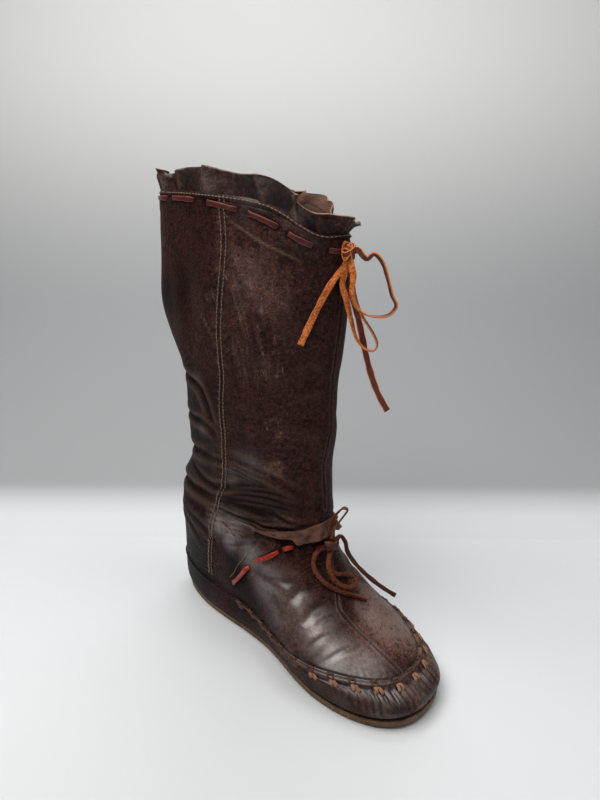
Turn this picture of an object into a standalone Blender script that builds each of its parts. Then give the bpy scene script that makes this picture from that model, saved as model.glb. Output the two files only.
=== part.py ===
"""A soft leather mukluk boot for the left foot: a thin crepe sole, a laced moccasin foot and a slack shaft.

+X points to the toe, +Y to the outer side of the foot, +Z up. The origin is on the floor, under the heel.
"""

import math

import bmesh
import bpy
from mathutils import Vector

MM = 0.001

# Sole
sole_length = 268 * MM
ball_half = 50 * MM
sole_thick = 5 * MM
toe_spring = 3.5 * MM
arch_lift = 1.2 * MM
welt_step = 0.8 * MM
heel_seat = 40 * MM
toe_in = 9 * MM

# Upper
leather = 1.8 * MM
seam_height = 26 * MM
instep_height = 88 * MM
seam_ridge = 1.2 * MM
shaft_depth = 166 * MM
shaft_half = 38 * MM
shaft_middle = 84 * MM
collar_height = 364 * MM

# Insole
insole_thick = 2.5 * MM

# Frills
frill_leather = 1.4 * MM
collar_frill_height = 17 * MM
collar_frill_flare = 7 * MM
collar_frill_wave = 2.6 * MM
flap_lift = 1.8 * MM
flap_wave = 0.9 * MM

# Laces
lace_wide = 4.2 * MM
lace_thick = 1.4 * MM
slot_long = 4.4 * MM
lace_rise = 1.3 * MM
lace_inside = 3.3 * MM
seam_lace_wide = 3.0 * MM
seam_lace_thick = 1.4 * MM
seam_lace_lift = 0.7 * MM
stitch = 9 * MM

# Bows
cord_round = 2.6 * MM
knot_out = 2.8 * MM
knot_long = 6.4 * MM
knot_pitch = 4.4 * MM
knot_turns = 1.5
bow_reach = 100 * MM

# Clearances
gap = 0.3 * MM
slot_clear = 0.5 * MM

# Counts
around = 48
frill_around = 96
collar_frill_folds = 17

# Where a half turn's sections are measured, from the heel (0) to the toe (1)
STATIONS = (0, 0.27, 0.48, 0.66, 0.83, 1)

# The wall of the foot: x in shares of sole_length, halves in shares of ball_half,
# heights in shares of the wall from the sole's top to the lacing seam.
WALL = (
    # name, back, front, halves at heel, waist, ball, toe, heights at back, heel, waist, ball, toe, front
    ("feather", 0.007, 0.992, 0.59, 0.70, 0.98, 0.71, 0, 0, 0, 0, 0, 0),
    ("bulge", -0.006, 1.003, 0.66, 0.78, 1.055, 0.77, 0.30, 0.30, 0.30, 0.30, 0.30, 0.30),
    ("wall", -0.010, 0.984, 0.68, 0.80, 1.085, 0.74, 0.85, 0.80, 0.75, 0.70, 0.70, 0.70),
    ("seam", -0.006, 0.940, 0.68, 0.78, 1.07, 0.68, 1.55, 1.40, 1.15, 1.0, 1.0, 1.0),
)

# The top of the foot: heights in shares of the rise from the lacing seam to the instep.
VAMP = (
    # name, back, front, halves at heel, waist, ball, toe, heights at back, heel, waist, ball, toe, front
    ("toe_top", -0.004, 0.880, 0.68, 0.82, 0.92, 0.58, 0.35, 0.32, 0.29, 0.22, 0.16, 0.13),
    ("ball_top", 0.000, 0.813, 0.68, 0.79, 0.84, 0.50, 0.56, 0.55, 0.52, 0.42, 0.29, 0.23),
    ("low_instep", 0.004, 0.746, 0.69, 0.77, 0.78, 0.45, 0.77, 0.76, 0.74, 0.64, 0.42, 0.33),
    ("instep", 0.004, 0.683, 0.70, 0.76, 0.75, 0.45, 0.95, 0.94, 0.94, 0.87, 0.64, 0.52),
    ("ankle", 0.018, 0.619, 0.72, 0.76, 0.75, 0.45, 1.15, 1.13, 1.15, 1.10, 1.02, 0.98),
)

# The shaft: middle and depth in shares of shaft_depth, half and lean of shaft_half, turn in degrees,
# heights in shares of the rise from the instep to the collar.
SHAFT = (
    # name, middle, depth, half, lean, turn, heights at back, middle, front, dip before the front
    ("ankle_fold", -0.030, 0.985, 1.00, 0.10, 1, 0.10, 0.09, 0.07, 0),
    ("over_ankle", 0.000, 0.885, 0.98, 0.12, 2, 0.18, 0.17, 0.15, 0),
    ("lower", -0.012, 0.896, 0.97, 0.14, 3, 0.26, 0.25, 0.24, 0),
    ("slouch", -0.010, 0.910, 0.98, 0.15, 4, 0.34, 0.33, 0.32, 0),
    ("calf_low", -0.007, 0.896, 1.00, 0.15, 6, 0.42, 0.41, 0.40, 0),
    ("calf", -0.015, 0.912, 1.00, 0.15, 8, 0.50, 0.49, 0.48, 0),
    ("calf_high", -0.060, 1.055, 1.00, 0.14, 9, 0.64, 0.63, 0.60, 0),
    ("upper", -0.050, 1.045, 1.00, 0.12, 10, 0.78, 0.765, 0.72, 0),
    ("casing", -0.040, 1.025, 1.00, 0.10, 10, 0.91, 0.89, 0.81, 0.006),
    ("collar", -0.035, 1.020, 1.00, 0.10, 10, 1.00, 0.975, 0.88, 0.036),
)

SEAM_ROW = 3
ANKLE_ROW = 8
COLLAR_ROW = 18

# Where the laces run on the inner side: u around the section and the row. The outer side mirrors it.
COLLAR_LACE_WAY = (
    # u, row
    (0.00, 17.72),
    (0.10, 17.74),
    (0.20, 17.75),
    (0.30, 17.55),
    (0.40, 17.20),
    (0.50, 17.28),
)
ANKLE_LACE_WAY = (
    # u, row
    (0.20, 3.60),
    (0.227, 4.24),
    (0.273, 5.89),
    (0.300, 6.71),
    (0.369, 7.88),
    (0.404, 8.20),
    (0.50, 8.20),
)
SEAM_LACE_WAY = (
    # u, row
    (0.20, 2.90),
    (0.32, 2.80),
    (0.42, 2.80),
    (0.50, 2.95),
)

# Slots on the inner side, from the knot back; the lace lies outside between each pair after the first.
COLLAR_SLOTS = (0.446, 0.408, 0.365, 0.346, 0.300, 0.281, 0.231, 0.205, 0.150, 0.122, 0.075)
ANKLE_SLOTS = (0.474, 0.404, 0.385, 0.369, 0.300, 0.273, 0.227)

# The frill over the collar: how high it stands and how far it falls outward, in shares of its sizes
COLLAR_FRILL = (
    # u all round, height, flare
    (0.00, 0.66, 0.30),
    (0.12, 0.74, 0.34),
    (0.22, 0.92, 0.40),
    (0.30, 1.00, 0.45),
    (0.36, 0.92, 0.60),
    (0.42, 0.72, 0.90),
    (0.50, 0.48, 1.00),
    (0.58, 0.38, 0.90),
    (0.64, 0.36, 0.60),
    (0.74, 0.46, 0.45),
    (0.86, 0.58, 0.34),
    (1.00, 0.66, 0.30),
)

# The folded flap over the ankle lace
FLAP = (
    # u, lower row, upper row
    (0.335, 8.38, 8.46),
    (0.370, 8.44, 8.66),
    (0.400, 8.46, 8.78),
    (0.422, 8.34, 8.86),
    (0.448, 8.46, 9.02),
    (0.500, 8.66, 9.16),
)

COLLAR_KNOT = (0.486, 17.28)
VAMP_KNOT = (0.500, 8.24)

# The bows: places counted from each knot in shares of bow_reach, smoothed into a curve.
COLLAR_BOW = (
    # name, rows of forward, outward, up
    ("collar_end_short", (
        (-0.029, 0.007, -0.083),
        (-0.073, -0.096, -0.217),
        (-0.148, -0.190, -0.440),
        (-0.225, -0.252, -0.660),
    )),
    ("collar_loop_wide", (
        (0.070, 0.016, 0.015),
        (0.093, 0.034, -0.018),
        (0.121, 0.056, -0.045),
        (0.158, 0.085, -0.011),
        (0.204, 0.120, -0.064),
        (0.241, 0.149, -0.187),
        (0.268, 0.169, -0.298),
        (0.293, 0.189, -0.368),
        (0.256, 0.161, -0.433),
        (0.189, 0.109, -0.449),
        (0.116, 0.052, -0.429),
        (0.069, 0.016, -0.380),
        (0.044, -0.003, -0.289),
        (0.047, -0.002, -0.149),
    )),
    ("collar_loop_long", (
        (-0.011, -0.009, -0.124),
        (-0.032, -0.024, -0.222),
        (-0.007, -0.005, -0.328),
        (0.025, 0.019, -0.478),
        (0.057, 0.044, -0.609),
        (0.111, 0.086, -0.689),
        (0.163, 0.126, -0.702),
        (0.179, 0.139, -0.657),
        (0.154, 0.119, -0.577),
        (0.087, 0.067, -0.448),
        (0.041, 0.051, -0.336),
        (0.014, 0.030, -0.166),
    )),
    ("collar_end_long", (
        (-0.016, 0.038, -0.232),
        (0.009, 0.057, -0.339),
        (0.035, 0.077, -0.439),
        (0.061, 0.097, -0.571),
        (0.089, 0.118, -0.719),
        (0.123, 0.144, -0.870),
        (0.172, 0.182, -1.031),
        (0.234, 0.229, -1.170),
    )),
)
VAMP_BOW = (
    # name, rows of forward, outward, up
    ("vamp_loop_up", (
        (0.012, 0.010, 0.137),
        (0.041, 0.033, 0.199),
        (0.076, 0.061, 0.269),
        (0.091, 0.072, 0.304),
        (0.069, 0.055, 0.320),
        (0.018, 0.060, 0.275),
        (-0.018, 0.031, 0.205),
        (-0.028, 0.023, 0.118),
    )),
    ("vamp_loop_low", (
        (0.013, -0.040, -0.050),
        (0.042, -0.093, -0.114),
        (0.084, -0.106, -0.188),
        (0.138, -0.063, -0.266),
        (0.171, 0.009, -0.311),
        (0.166, 0.119, -0.331),
        (0.110, 0.172, -0.323),
        (0.089, 0.071, -0.260),
        (0.063, -0.027, -0.219),
        (0.022, -0.044, -0.148),
        (-0.000, -0.013, -0.106),
    )),
    ("vamp_end_near", (
        (-0.045, -0.104, -0.025),
        (-0.048, -0.153, -0.055),
        (-0.031, -0.184, -0.120),
        (0.018, -0.178, -0.194),
        (0.079, -0.142, -0.261),
        (0.142, -0.056, -0.331),
        (0.204, 0.037, -0.388),
        (0.274, 0.118, -0.437),
    )),
    ("vamp_end_far", (
        (0.050, 0.040, 0.079),
        (0.071, 0.079, 0.018),
        (0.069, 0.111, -0.076),
        (0.089, 0.170, -0.183),
        (0.155, 0.221, -0.280),
        (0.240, 0.288, -0.375),
        (0.306, 0.340, -0.436),
        (0.365, 0.387, -0.483),
    )),
)


def through(xs, ys, x):
    """A smooth curve through the given points, read at x."""
    last = len(xs) - 1
    i = 0
    while i < last - 1 and x > xs[i + 1]:
        i += 1

    def slope(j):
        a = max(j - 1, 0)
        b = min(j + 1, last)
        return (ys[b] - ys[a]) / (xs[b] - xs[a])

    wide = xs[i + 1] - xs[i]
    t = (x - xs[i]) / wide
    rise = (3 - 2 * t) * t * t
    return (
        ys[i] + (ys[i + 1] - ys[i]) * rise
        + wide * t * (1 - t) * ((1 - t) * slope(i) - t * slope(i + 1))
    )


def spring(x):
    """How far the sole turns up toward the toe."""
    past = max(x / sole_length - 0.8, 0) / 0.2
    return toe_spring * past * past


def toe_shift(x):
    """How far the foot's middle line bends toward the inner side."""
    past = max(x / sole_length - 0.5, 0) / 0.5
    return -toe_in * past * past


def foot_row(row, low, high):
    """A row of the foot's tables as real sizes."""
    back, front = (share * sole_length for share in row[1:3])
    halves = [share * ball_half for share in row[3:7]]
    heights = [low + share * (high - low) for share in row[7:13]]
    return [back, front, *halves, *heights, 0.8, 0.0, 0.0]


def shaft_row(row):
    """A row of the shaft's table as real sizes."""
    _, middle, depth, half, lean, turn, back_up, middle_up, front_up, dip = row
    centre = shaft_middle + middle * shaft_depth
    reach = depth * shaft_depth / 2
    rise = collar_height - instep_height
    ends = (back_up, middle_up, front_up)
    heights = [instep_height + rise * through((0, 0.5, 1), ends, s) for s in STATIONS]
    heights[4] -= dip * rise
    blunt = 0.9
    halves = [half * shaft_half * math.sin(math.pi * s) ** blunt for s in STATIONS[1:5]]
    return [centre - reach, centre + reach, *halves, *heights, blunt, lean * shaft_half, turn]


def rows():
    """The key sections of the upper, from its bottom edge to its collar."""
    bottom = sole_thick + gap
    made = [foot_row(row, bottom, seam_height) for row in WALL]
    made += [foot_row(row, seam_height, instep_height) for row in VAMP]
    return made + [shaft_row(row) for row in SHAFT]


ROWS = rows()


def section(v):
    """The sizes of the section at row v, which may lie between two key rows."""
    numbers = list(range(len(ROWS)))
    return [through(numbers, column, v) for column in zip(*ROWS)]


def loop_point(sizes, u):
    """A point of a closed section: u is 0 at the heel, 0.5 at the toe, and below 0.5 on the inner side."""
    back, front = sizes[0:2]
    blunt, lean, turn = sizes[12:15]
    side = -1 if u < 0.5 else 1
    s = 2 * u if u < 0.5 else 2 - 2 * u
    full = [sizes[1 + i] / math.sin(math.pi * STATIONS[i]) ** blunt for i in range(1, 5)]
    half = through(STATIONS, [full[0], *full, full[3]], s) * abs(math.sin(math.pi * s)) ** blunt
    x = back + (front - back) * (1 - math.cos(math.pi * s)) / 2
    z = through(STATIONS, sizes[6:12], s)
    middle = (back + front) / 2
    angle = math.radians(turn)
    dx = x - middle
    dy = side * half
    x = middle + dx * math.cos(angle) - dy * math.sin(angle)
    y = dx * math.sin(angle) + dy * math.cos(angle) + lean
    return Vector((x, y, z))


def upper_point(u, v, out=0.0):
    """A point of the upper's outer face, or out from it."""
    u = u % 1
    point = loop_point(section(v), u)
    foot = 1 - min(max((v - SEAM_ROW) / (ANKLE_ROW - SEAM_ROW), 0), 1)
    point.y += toe_shift(point.x) * (1 if v < SEAM_ROW else 0.4 + 0.6 * foot)
    if v < SEAM_ROW:
        point.z += spring(point.x) * (1 - v / SEAM_ROW)
    if out:
        point += out * upper_normal(u, v)
    return point


def upper_normal(u, v):
    """The way out of the upper's face."""
    step = 0.004
    across = upper_point(u + step, v) - upper_point(u - step, v)
    low = max(v - 0.02, 0)
    high = min(v + 0.02, COLLAR_ROW)
    up = upper_point(u, high) - upper_point(u, low)
    return across.cross(up).normalized()


def ridge(v):
    """The raised edge where the top of the foot is sewn to its wall."""
    return seam_ridge * max(0, 1 - abs(v - SEAM_ROW) / 0.3)


def new_collection(name):
    made = bpy.data.collections.new(name)
    bpy.context.scene.collection.children.link(made)
    return made


def material(name, colour, roughness):
    made = bpy.data.materials.new(name)
    made.use_nodes = True
    shader = made.node_tree.nodes["Principled BSDF"]
    shader.inputs["Base Color"].default_value = (*colour, 1)
    shader.inputs["Roughness"].default_value = roughness
    return made


def add_mesh(name, points, faces, finish, collection, turn_out=False):
    """One object from points and faces, moved so that the origin is under the heel."""
    mesh = bpy.data.meshes.new(name)
    shift = Vector((heel_seat, 0, 0))
    mesh.from_pydata([Vector(p) - shift for p in points], [], faces)
    if turn_out:
        work = bmesh.new()
        work.from_mesh(mesh)
        bmesh.ops.recalc_face_normals(work, faces=work.faces)
        work.to_mesh(mesh)
        work.free()
    mesh.update()
    made = bpy.data.objects.new(name, mesh)
    collection.objects.link(made)
    if finish:
        mesh.materials.append(finish)
    mesh.shade_smooth()
    mesh.set_sharp_from_angle(angle=math.radians(40))
    return made


def ring_faces(rings, count, closed=True):
    """Quads between rings of count points each; closed joins each ring's ends."""
    faces = []
    for i in range(rings - 1):
        for k in range(count if closed else count - 1):
            a = i * count + k
            b = i * count + (k + 1) % count
            faces.append((a, b, b + count, a + count))
    return faces


def ladder_faces(start, count, up):
    """Faces across a flat ring, between the points of its two sides."""
    faces = []
    for k in range(count // 2):
        a, b = k, k + 1
        c, d = (count - k - 1) % count, (count - k) % count
        corners = []
        for corner in (a, b, c, d):
            if start + corner not in corners:
                corners.append(start + corner)
        faces.append(tuple(corners) if up else tuple(reversed(corners)))
    return faces


def add_upper(finish, parts, slots):
    """The hollow upper: foot and shaft in one skin, open at the collar and over the sole."""
    levels = [0, 0.5, 1, 1.5, 2, 2.65, 3, 3.35, 4, 4.5, 5, 5.5, 6, 6.5, 7, 7.5, 8, 8.5]
    levels += [9, 9.5, 10, 11, 12, 13, 14, 15, 16, 17, 18]
    points = []
    for v in levels:
        for k in range(around):
            u = k / around
            points.append(upper_point(u, v, ridge(v)))
    upper = add_mesh("upper", points, ring_faces(len(levels), around), finish, parts)
    wall = upper.modifiers.new("wall", "SOLIDIFY")
    wall.thickness = leather
    wall.offset = -1
    wall.use_even_offset = True
    holes = upper.modifiers.new("slots", "BOOLEAN")
    holes.operation = "DIFFERENCE"
    holes.solver = "EXACT"
    holes.object = slots
    return upper


def sole_ring(inset, height):
    """The sole's outline, moved in by inset, at height over the turned-up bottom."""
    sizes = foot_row(("sole", 0, 1, 0.60, 0.71, 1.0, 0.73, 0, 0, 0, 0, 0, 0), 0, 0)
    points = []
    for k in range(around):
        point = loop_point(sizes, k / around)
        middle = sole_length / 2
        point.x = middle + (point.x - middle) * (1 - inset / middle)
        point.y *= 1 - inset / ball_half
        point.y += toe_shift(point.x)
        point.z = height + spring(point.x)
        points.append(point)
    return points


def arch(x):
    """How far the bottom lifts under the waist, between the heel's flat and the forefoot's."""
    share = (x / sole_length - 0.32) / 0.24
    return arch_lift * math.sin(math.pi * share) if 0 < share < 1 else 0.0


def add_outsole(finish, parts):
    """The thin sole: a ladder of faces below and above, and a side with a small step."""
    bottom = sole_ring(welt_step, 0)
    for point in bottom:
        point.z += arch(point.x)
    side_low = sole_ring(0, 0.3 * sole_thick)
    side_high = sole_ring(0, 0.8 * sole_thick)
    top = sole_ring(welt_step / 2, sole_thick)
    points = bottom + side_low + side_high + top
    faces = ring_faces(4, around)
    faces += ladder_faces(0, around, False)
    faces += ladder_faces(3 * around, around, True)
    return add_mesh("outsole", points, faces, finish, parts)


def add_insole(finish, parts):
    """The flat insole inside the upper's bottom edge."""
    inset = leather + 3 * gap + 0.01 * sole_length
    low = sole_ring(inset, sole_thick + gap)
    high = sole_ring(inset, sole_thick + gap + insole_thick)
    faces = ring_faces(2, around)
    faces += ladder_faces(0, around, False)
    faces += ladder_faces(around, around, True)
    return add_mesh("insole", low + high, faces, finish, parts)


def on_way(way, u):
    """The row where a lace runs at u."""
    u = u % 1
    share = min(u, 1 - u)
    return through([row[0] for row in way], [row[1] for row in way], share)


def frame_at(u, v, way=None):
    """The way along a section or a lace, the way out and the way across."""
    step = 0.004
    ahead = upper_point(u + step, on_way(way, u + step) if way else v)
    behind = upper_point(u - step, on_way(way, u - step) if way else v)
    along = (ahead - behind).normalized()
    out = upper_normal(u, v)
    return along, out, along.cross(out).normalized()


def even_steps(way, first, last, step):
    """Values of u a step apart along a lace's way, with both ends kept."""
    fine = 60
    us = [first + (last - first) * k / fine for k in range(fine + 1)]
    points = [upper_point(u, on_way(way, u)) for u in us]
    run = [0.0]
    for a, b in zip(points, points[1:]):
        run.append(run[-1] + (b - a).length)
    count = max(1, round(run[-1] / step))
    found = []
    i = 0
    for k in range(count + 1):
        goal = run[-1] * k / count
        while i < fine - 1 and run[i + 1] < goal:
            i += 1
        share = (goal - run[i]) / (run[i + 1] - run[i])
        found.append(us[i] + (us[i + 1] - us[i]) * share)
    return found


def woven(way, slots, closed):
    """Places of a woven lace, as u and height over the face, from the knot back and round again."""
    places = [(0.5, lace_rise)]
    half = [(0.5 - 0.35 * (0.5 - slots[0]), lace_rise)]
    outside = True
    ends = list(slots) + ([0.0] if closed else [slots[-1] - 0.012])
    last = 0.5
    for k, slot in enumerate(ends):
        free = 0.5 * slot_long
        here = even_steps(way, last, slot, 6.5 * MM)
        for u in here[1:-1]:
            distance = (upper_point(u, on_way(way, u)) - upper_point(slot, on_way(way, slot))).length
            start = (upper_point(u, on_way(way, u)) - upper_point(last, on_way(way, last))).length
            if distance > free + 1.5 * MM and (start > free + 1.5 * MM or last == 0.5):
                half.append((u, lace_rise if outside else -lace_inside))
        if k < len(slots):
            run = (upper_point(slot + 0.002, on_way(way, slot)) - upper_point(slot, on_way(way, slot))).length
            shift = 0.002 * 0.38 * slot_long / run
            before = lace_rise if outside else -lace_inside
            after = -lace_inside if outside else lace_rise
            half.append((slot + shift, before))
            half.append((slot - shift, after))
            outside = not outside
        elif not closed:
            half.append((slot, -lace_inside))
        last = slot
    del half[0]
    mirrored = [(1 - u, height) for u, height in reversed(half)]
    return mirrored + places + half if not closed else places + half + [(0.0, -lace_inside)] + mirrored


def add_strip(name, way, places, wide, thick, closed, finish, parts):
    """A flat strip along a way, through the given places."""
    points = []
    for u, height in places:
        v = on_way(way, u)
        _, out, across = frame_at(u, v, way)
        centre = upper_point(u, v) + height * out
        for side, rise in ((-1, -1), (1, -1), (1, 1), (-1, 1)):
            points.append(centre + side * wide / 2 * across + rise * thick / 2 * out)
    rings = len(places)
    faces = ring_faces(rings, 4)
    if closed:
        last = (rings - 1) * 4
        for k in range(4):
            faces.append((last + k, last + (k + 1) % 4, (k + 1) % 4, k))
    else:
        faces.append((0, 1, 2, 3))
        faces.append(tuple(rings * 4 - 4 + k for k in (3, 2, 1, 0)))
    return add_mesh(name, points, faces, finish, parts, turn_out=True)


def add_slots(cutters):
    """One joined cutter with a box at each slot of both laces."""
    points = []
    faces = []
    for way, slots in ((COLLAR_LACE_WAY, COLLAR_SLOTS), (ANKLE_LACE_WAY, ANKLE_SLOTS)):
        for u in [*slots, *[1 - slot for slot in slots]]:
            v = on_way(way, u)
            along, out, across = frame_at(u, v, way)
            centre = upper_point(u, v) - leather / 2 * out
            start = len(points)
            for rise in (-1, 1):
                for a, b in ((-1, -1), (1, -1), (1, 1), (-1, 1)):
                    wide = lace_wide / 2 + slot_clear
                    points.append(
                        centre + a * slot_long / 2 * along + b * wide * across + rise * 2 * leather * out
                    )
            for corners in (
                (0, 3, 2, 1), (4, 5, 6, 7), (0, 1, 5, 4), (1, 2, 6, 5), (2, 3, 7, 6), (3, 0, 4, 7)
            ):
                faces.append(tuple(start + corner for corner in corners))
    cutter = add_mesh("lace_slots", points, faces, None, cutters, turn_out=True)
    cutter.hide_render = True
    cutter.display_type = "WIRE"
    return cutter


def add_collar_frill(finish, parts):
    """The gathered frill over the collar, in waves that grow toward its edge."""
    levels = (0, 0.5, 1)
    columns = list(zip(*COLLAR_FRILL))
    points = []
    for t in levels:
        for k in range(frill_around):
            u = k / frill_around
            turn = 2 * math.pi * u
            phase = collar_frill_folds * turn + 1.6 * math.sin(2 * turn) + 1.1 * math.sin(5 * turn + 1)
            size = 0.75 + 0.25 * math.sin(3 * turn + 0.5)
            out = t * t * collar_frill_flare * through(columns[0], columns[2], u)
            out += t * size * collar_frill_wave * math.sin(phase)
            rise = collar_frill_height * through(columns[0], columns[1], u)
            rise *= 1 + 0.12 * math.sin(0.5 * phase + 2 * turn)
            point = upper_point(u, COLLAR_ROW)
            flat = upper_normal(u, COLLAR_ROW)
            flat.z = 0
            point += (out - 0.1 * leather) * flat.normalized()
            point.z += 2 * gap + t * rise
            points.append(point)
    frill = add_mesh("collar_frill", points, ring_faces(len(levels), frill_around), finish, parts)
    wall = frill.modifiers.new("wall", "SOLIDIFY")
    wall.thickness = frill_leather
    wall.offset = -1
    wall.use_even_offset = False
    return frill


def add_ankle_flap(finish, parts):
    """The suede flap folded down over the ankle lace, its lower edge lifted in waves."""
    columns = list(zip(*FLAP))
    count = 37
    levels = (0, 0.5, 1)
    points = []
    for height in (0, frill_leather):
        for t in levels:
            for k in range(count):
                u = FLAP[0][0] + (1 - 2 * FLAP[0][0]) * k / (count - 1)
                share = min(u, 1 - u)
                low = through(columns[0], columns[1], share)
                high = through(columns[0], columns[2], share)
                wave = flap_wave * math.sin(2 * math.pi * 17 * u)
                rise = 2 * gap + (1 - t) * (flap_lift + wave) + height
                points.append(upper_point(u, low + t * (high - low), rise))
    size = len(levels) * count
    faces = ring_faces(len(levels), count, closed=False)
    faces += [tuple(size + corner for corner in reversed(face)) for face in faces]
    rim = list(range(count)) + [2 * count - 1, 3 * count - 1]
    rim += list(range(3 * count - 2, 2 * count - 1, -1)) + [count]
    for a, b in zip(rim, rim[1:] + rim[:1]):
        faces.append((b, a, size + a, size + b))
    return add_mesh("ankle_flap", points, faces, finish, parts, turn_out=True)


def add_seam_lace(finish, parts):
    """The thong over the moccasin seam, lifted at each stitch."""
    us = even_steps(SEAM_LACE_WAY, 0.225, 0.775, stitch / 2)
    places = []
    for k, u in enumerate(us):
        lift = seam_lace_lift if k % 2 else 0
        places.append((u, seam_ridge + 1.5 * gap + seam_lace_thick / 2 + lift))
    return add_strip(
        "moccasin_lace", SEAM_LACE_WAY, places, seam_lace_wide, seam_lace_thick, False, finish, parts
    )


def add_cord(name, points, finish, parts):
    """A round cord along the given points."""
    curve = bpy.data.curves.new(name, "CURVE")
    curve.dimensions = "3D"
    curve.bevel_depth = cord_round / 2
    curve.bevel_resolution = 2
    curve.use_fill_caps = True
    spline = curve.splines.new("POLY")
    spline.points.add(len(points) - 1)
    for place, point in zip(spline.points, points):
        place.co = (point.x - heel_seat, point.y, point.z, 1)
    made = bpy.data.objects.new(name, curve)
    parts.objects.link(made)
    curve.materials.append(finish)
    return made


def smooth_way(places, step):
    """Points a step apart on a smooth curve through the places."""
    lengths = [0.0]
    for a, b in zip(places, places[1:]):
        lengths.append(lengths[-1] + (b - a).length)
    count = max(3, math.ceil(lengths[-1] / step))
    points = []
    for k in range(count + 1):
        at = lengths[-1] * k / count
        points.append(Vector([through(lengths, column, at) for column in zip(*places)]))
    return points


def knot_centre(place):
    """Where a knot's middle is: over the lace, clear of it."""
    u, v = place
    return upper_point(u, v, lace_rise + lace_thick / 2 + 1.5 * gap + cord_round / 2 + knot_out)


def knot_points(place, upright):
    """A knot as a short coil lying on the lace, its turns upright or level."""
    u, v = place
    along, out, across = frame_at(u, v)
    up = across if across.z > 0 else -across
    axis, tall = (along, up) if upright else (up, along)
    points = []
    count = round(knot_turns * 12)
    for k in range(count + 1):
        turn = 2 * math.pi * (k / 12 - knot_turns / 2)
        point = knot_centre(place) + axis * knot_pitch * turn / (2 * math.pi)
        point += tall * knot_long * math.sin(turn) + out * knot_out * math.cos(turn)
        points.append(point)
    return points


def bow_points(place, table, step):
    """A loop or end of a bow, from its table of places counted from the knot."""
    centre = knot_centre(place)
    return smooth_way([centre + bow_reach * Vector(row) for row in table], step)


def main():
    for item in list(bpy.data.objects):
        bpy.data.objects.remove(item)
    parts = new_collection("mukluk_boot")
    cutters = new_collection("cutters")
    leather_finish = material("leather", (0.07, 0.028, 0.02), 0.42)
    sole_finish = material("crepe", (0.28, 0.15, 0.07), 0.7)
    lining_finish = material("insole_leather", (0.2, 0.11, 0.06), 0.8)
    suede = material("suede", (0.16, 0.07, 0.035), 0.85)
    lace_leather = material("lace_leather", (0.3, 0.07, 0.025), 0.55)
    add_outsole(sole_finish, parts)
    add_insole(lining_finish, parts)
    add_upper(leather_finish, parts, add_slots(cutters))
    add_collar_frill(suede, parts)
    add_ankle_flap(suede, parts)
    for name, way, slots, closed in (
        ("collar_lace", COLLAR_LACE_WAY, COLLAR_SLOTS, True),
        ("ankle_lace", ANKLE_LACE_WAY, ANKLE_SLOTS, False),
    ):
        places = woven(way, slots, closed)
        add_strip(name, way, places, lace_wide, lace_thick, closed, lace_leather, parts)
    add_seam_lace(lace_leather, parts)
    add_cord("collar_knot", knot_points(COLLAR_KNOT, True), lace_leather, parts)
    add_cord("vamp_knot", knot_points(VAMP_KNOT, False), lace_leather, parts)
    for knot, bow in ((COLLAR_KNOT, COLLAR_BOW), (VAMP_KNOT, VAMP_BOW)):
        for name, table in bow:
            add_cord(name, bow_points(knot, table, 3 * cord_round), lace_leather, parts)


main()
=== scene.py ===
# %% [markdown]
# # A worn leather mukluk boot
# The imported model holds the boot's true solids. This lesson gives them their looks: a hide that
# slouches and creases, a frill of gathered leather, laces with a smooth and a rough side, and a
# crepe sole. Everything is made in metres, in the model's own frame: +X to the toe, +Y to the outer
# side of the foot, +Z up, with the origin on the floor under the heel.

# %% The frame
import math
import random

import bpy
import numpy as np
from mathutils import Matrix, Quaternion, Vector


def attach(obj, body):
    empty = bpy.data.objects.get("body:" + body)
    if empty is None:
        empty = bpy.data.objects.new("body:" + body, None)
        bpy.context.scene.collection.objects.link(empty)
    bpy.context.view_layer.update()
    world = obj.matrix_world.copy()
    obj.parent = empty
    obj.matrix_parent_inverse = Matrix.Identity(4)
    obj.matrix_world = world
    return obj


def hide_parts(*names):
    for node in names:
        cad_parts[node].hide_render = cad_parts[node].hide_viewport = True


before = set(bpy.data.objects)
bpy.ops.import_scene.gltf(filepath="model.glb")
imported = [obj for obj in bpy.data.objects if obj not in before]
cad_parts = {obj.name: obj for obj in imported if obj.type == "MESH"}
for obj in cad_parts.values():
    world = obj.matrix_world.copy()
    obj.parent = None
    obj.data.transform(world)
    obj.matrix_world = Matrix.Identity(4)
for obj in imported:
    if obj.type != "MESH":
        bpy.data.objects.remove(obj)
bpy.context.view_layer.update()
MM = 0.001

# %% [markdown]
# ## The camera
# A photograph can only be matched from the place where it was taken. The lens height and tilt were worked
# out from the sole's ellipse on the floor, and the camera is put there before anything else.

# %% The camera
lens_place = Vector((0.3952, -0.3303, 0.334))
heading = math.radians(47.8)
tilt = math.radians(16)
roll = math.radians(0.4)
ahead = Vector((-math.cos(heading) * math.cos(tilt), math.sin(heading) * math.cos(tilt), -math.sin(tilt)))
camera_data = bpy.data.cameras.new("camera")
camera_data.sensor_fit = "VERTICAL"
camera_data.sensor_height = 36
camera_data.lens = 27
camera = bpy.data.objects.new("camera", camera_data)
camera.location = lens_place
camera.rotation_mode = "QUATERNION"
camera.rotation_quaternion = ahead.to_track_quat("-Z", "Y") @ Quaternion((0, 0, 1), roll)
bpy.context.scene.collection.objects.link(camera)
bpy.context.scene.camera = camera
print("camera", [round(x, 3) for x in lens_place])

# %% [markdown]
# ## Shader maths in plain Python
# A material is a net of nodes, and wiring it by hand hides the sums inside it. A small class wraps a
# socket, so that an expression such as `1 - mask * 0.5` adds its own Math nodes. Every other node
# comes from one method, which sets the node up first and then feeds its sockets.

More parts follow.
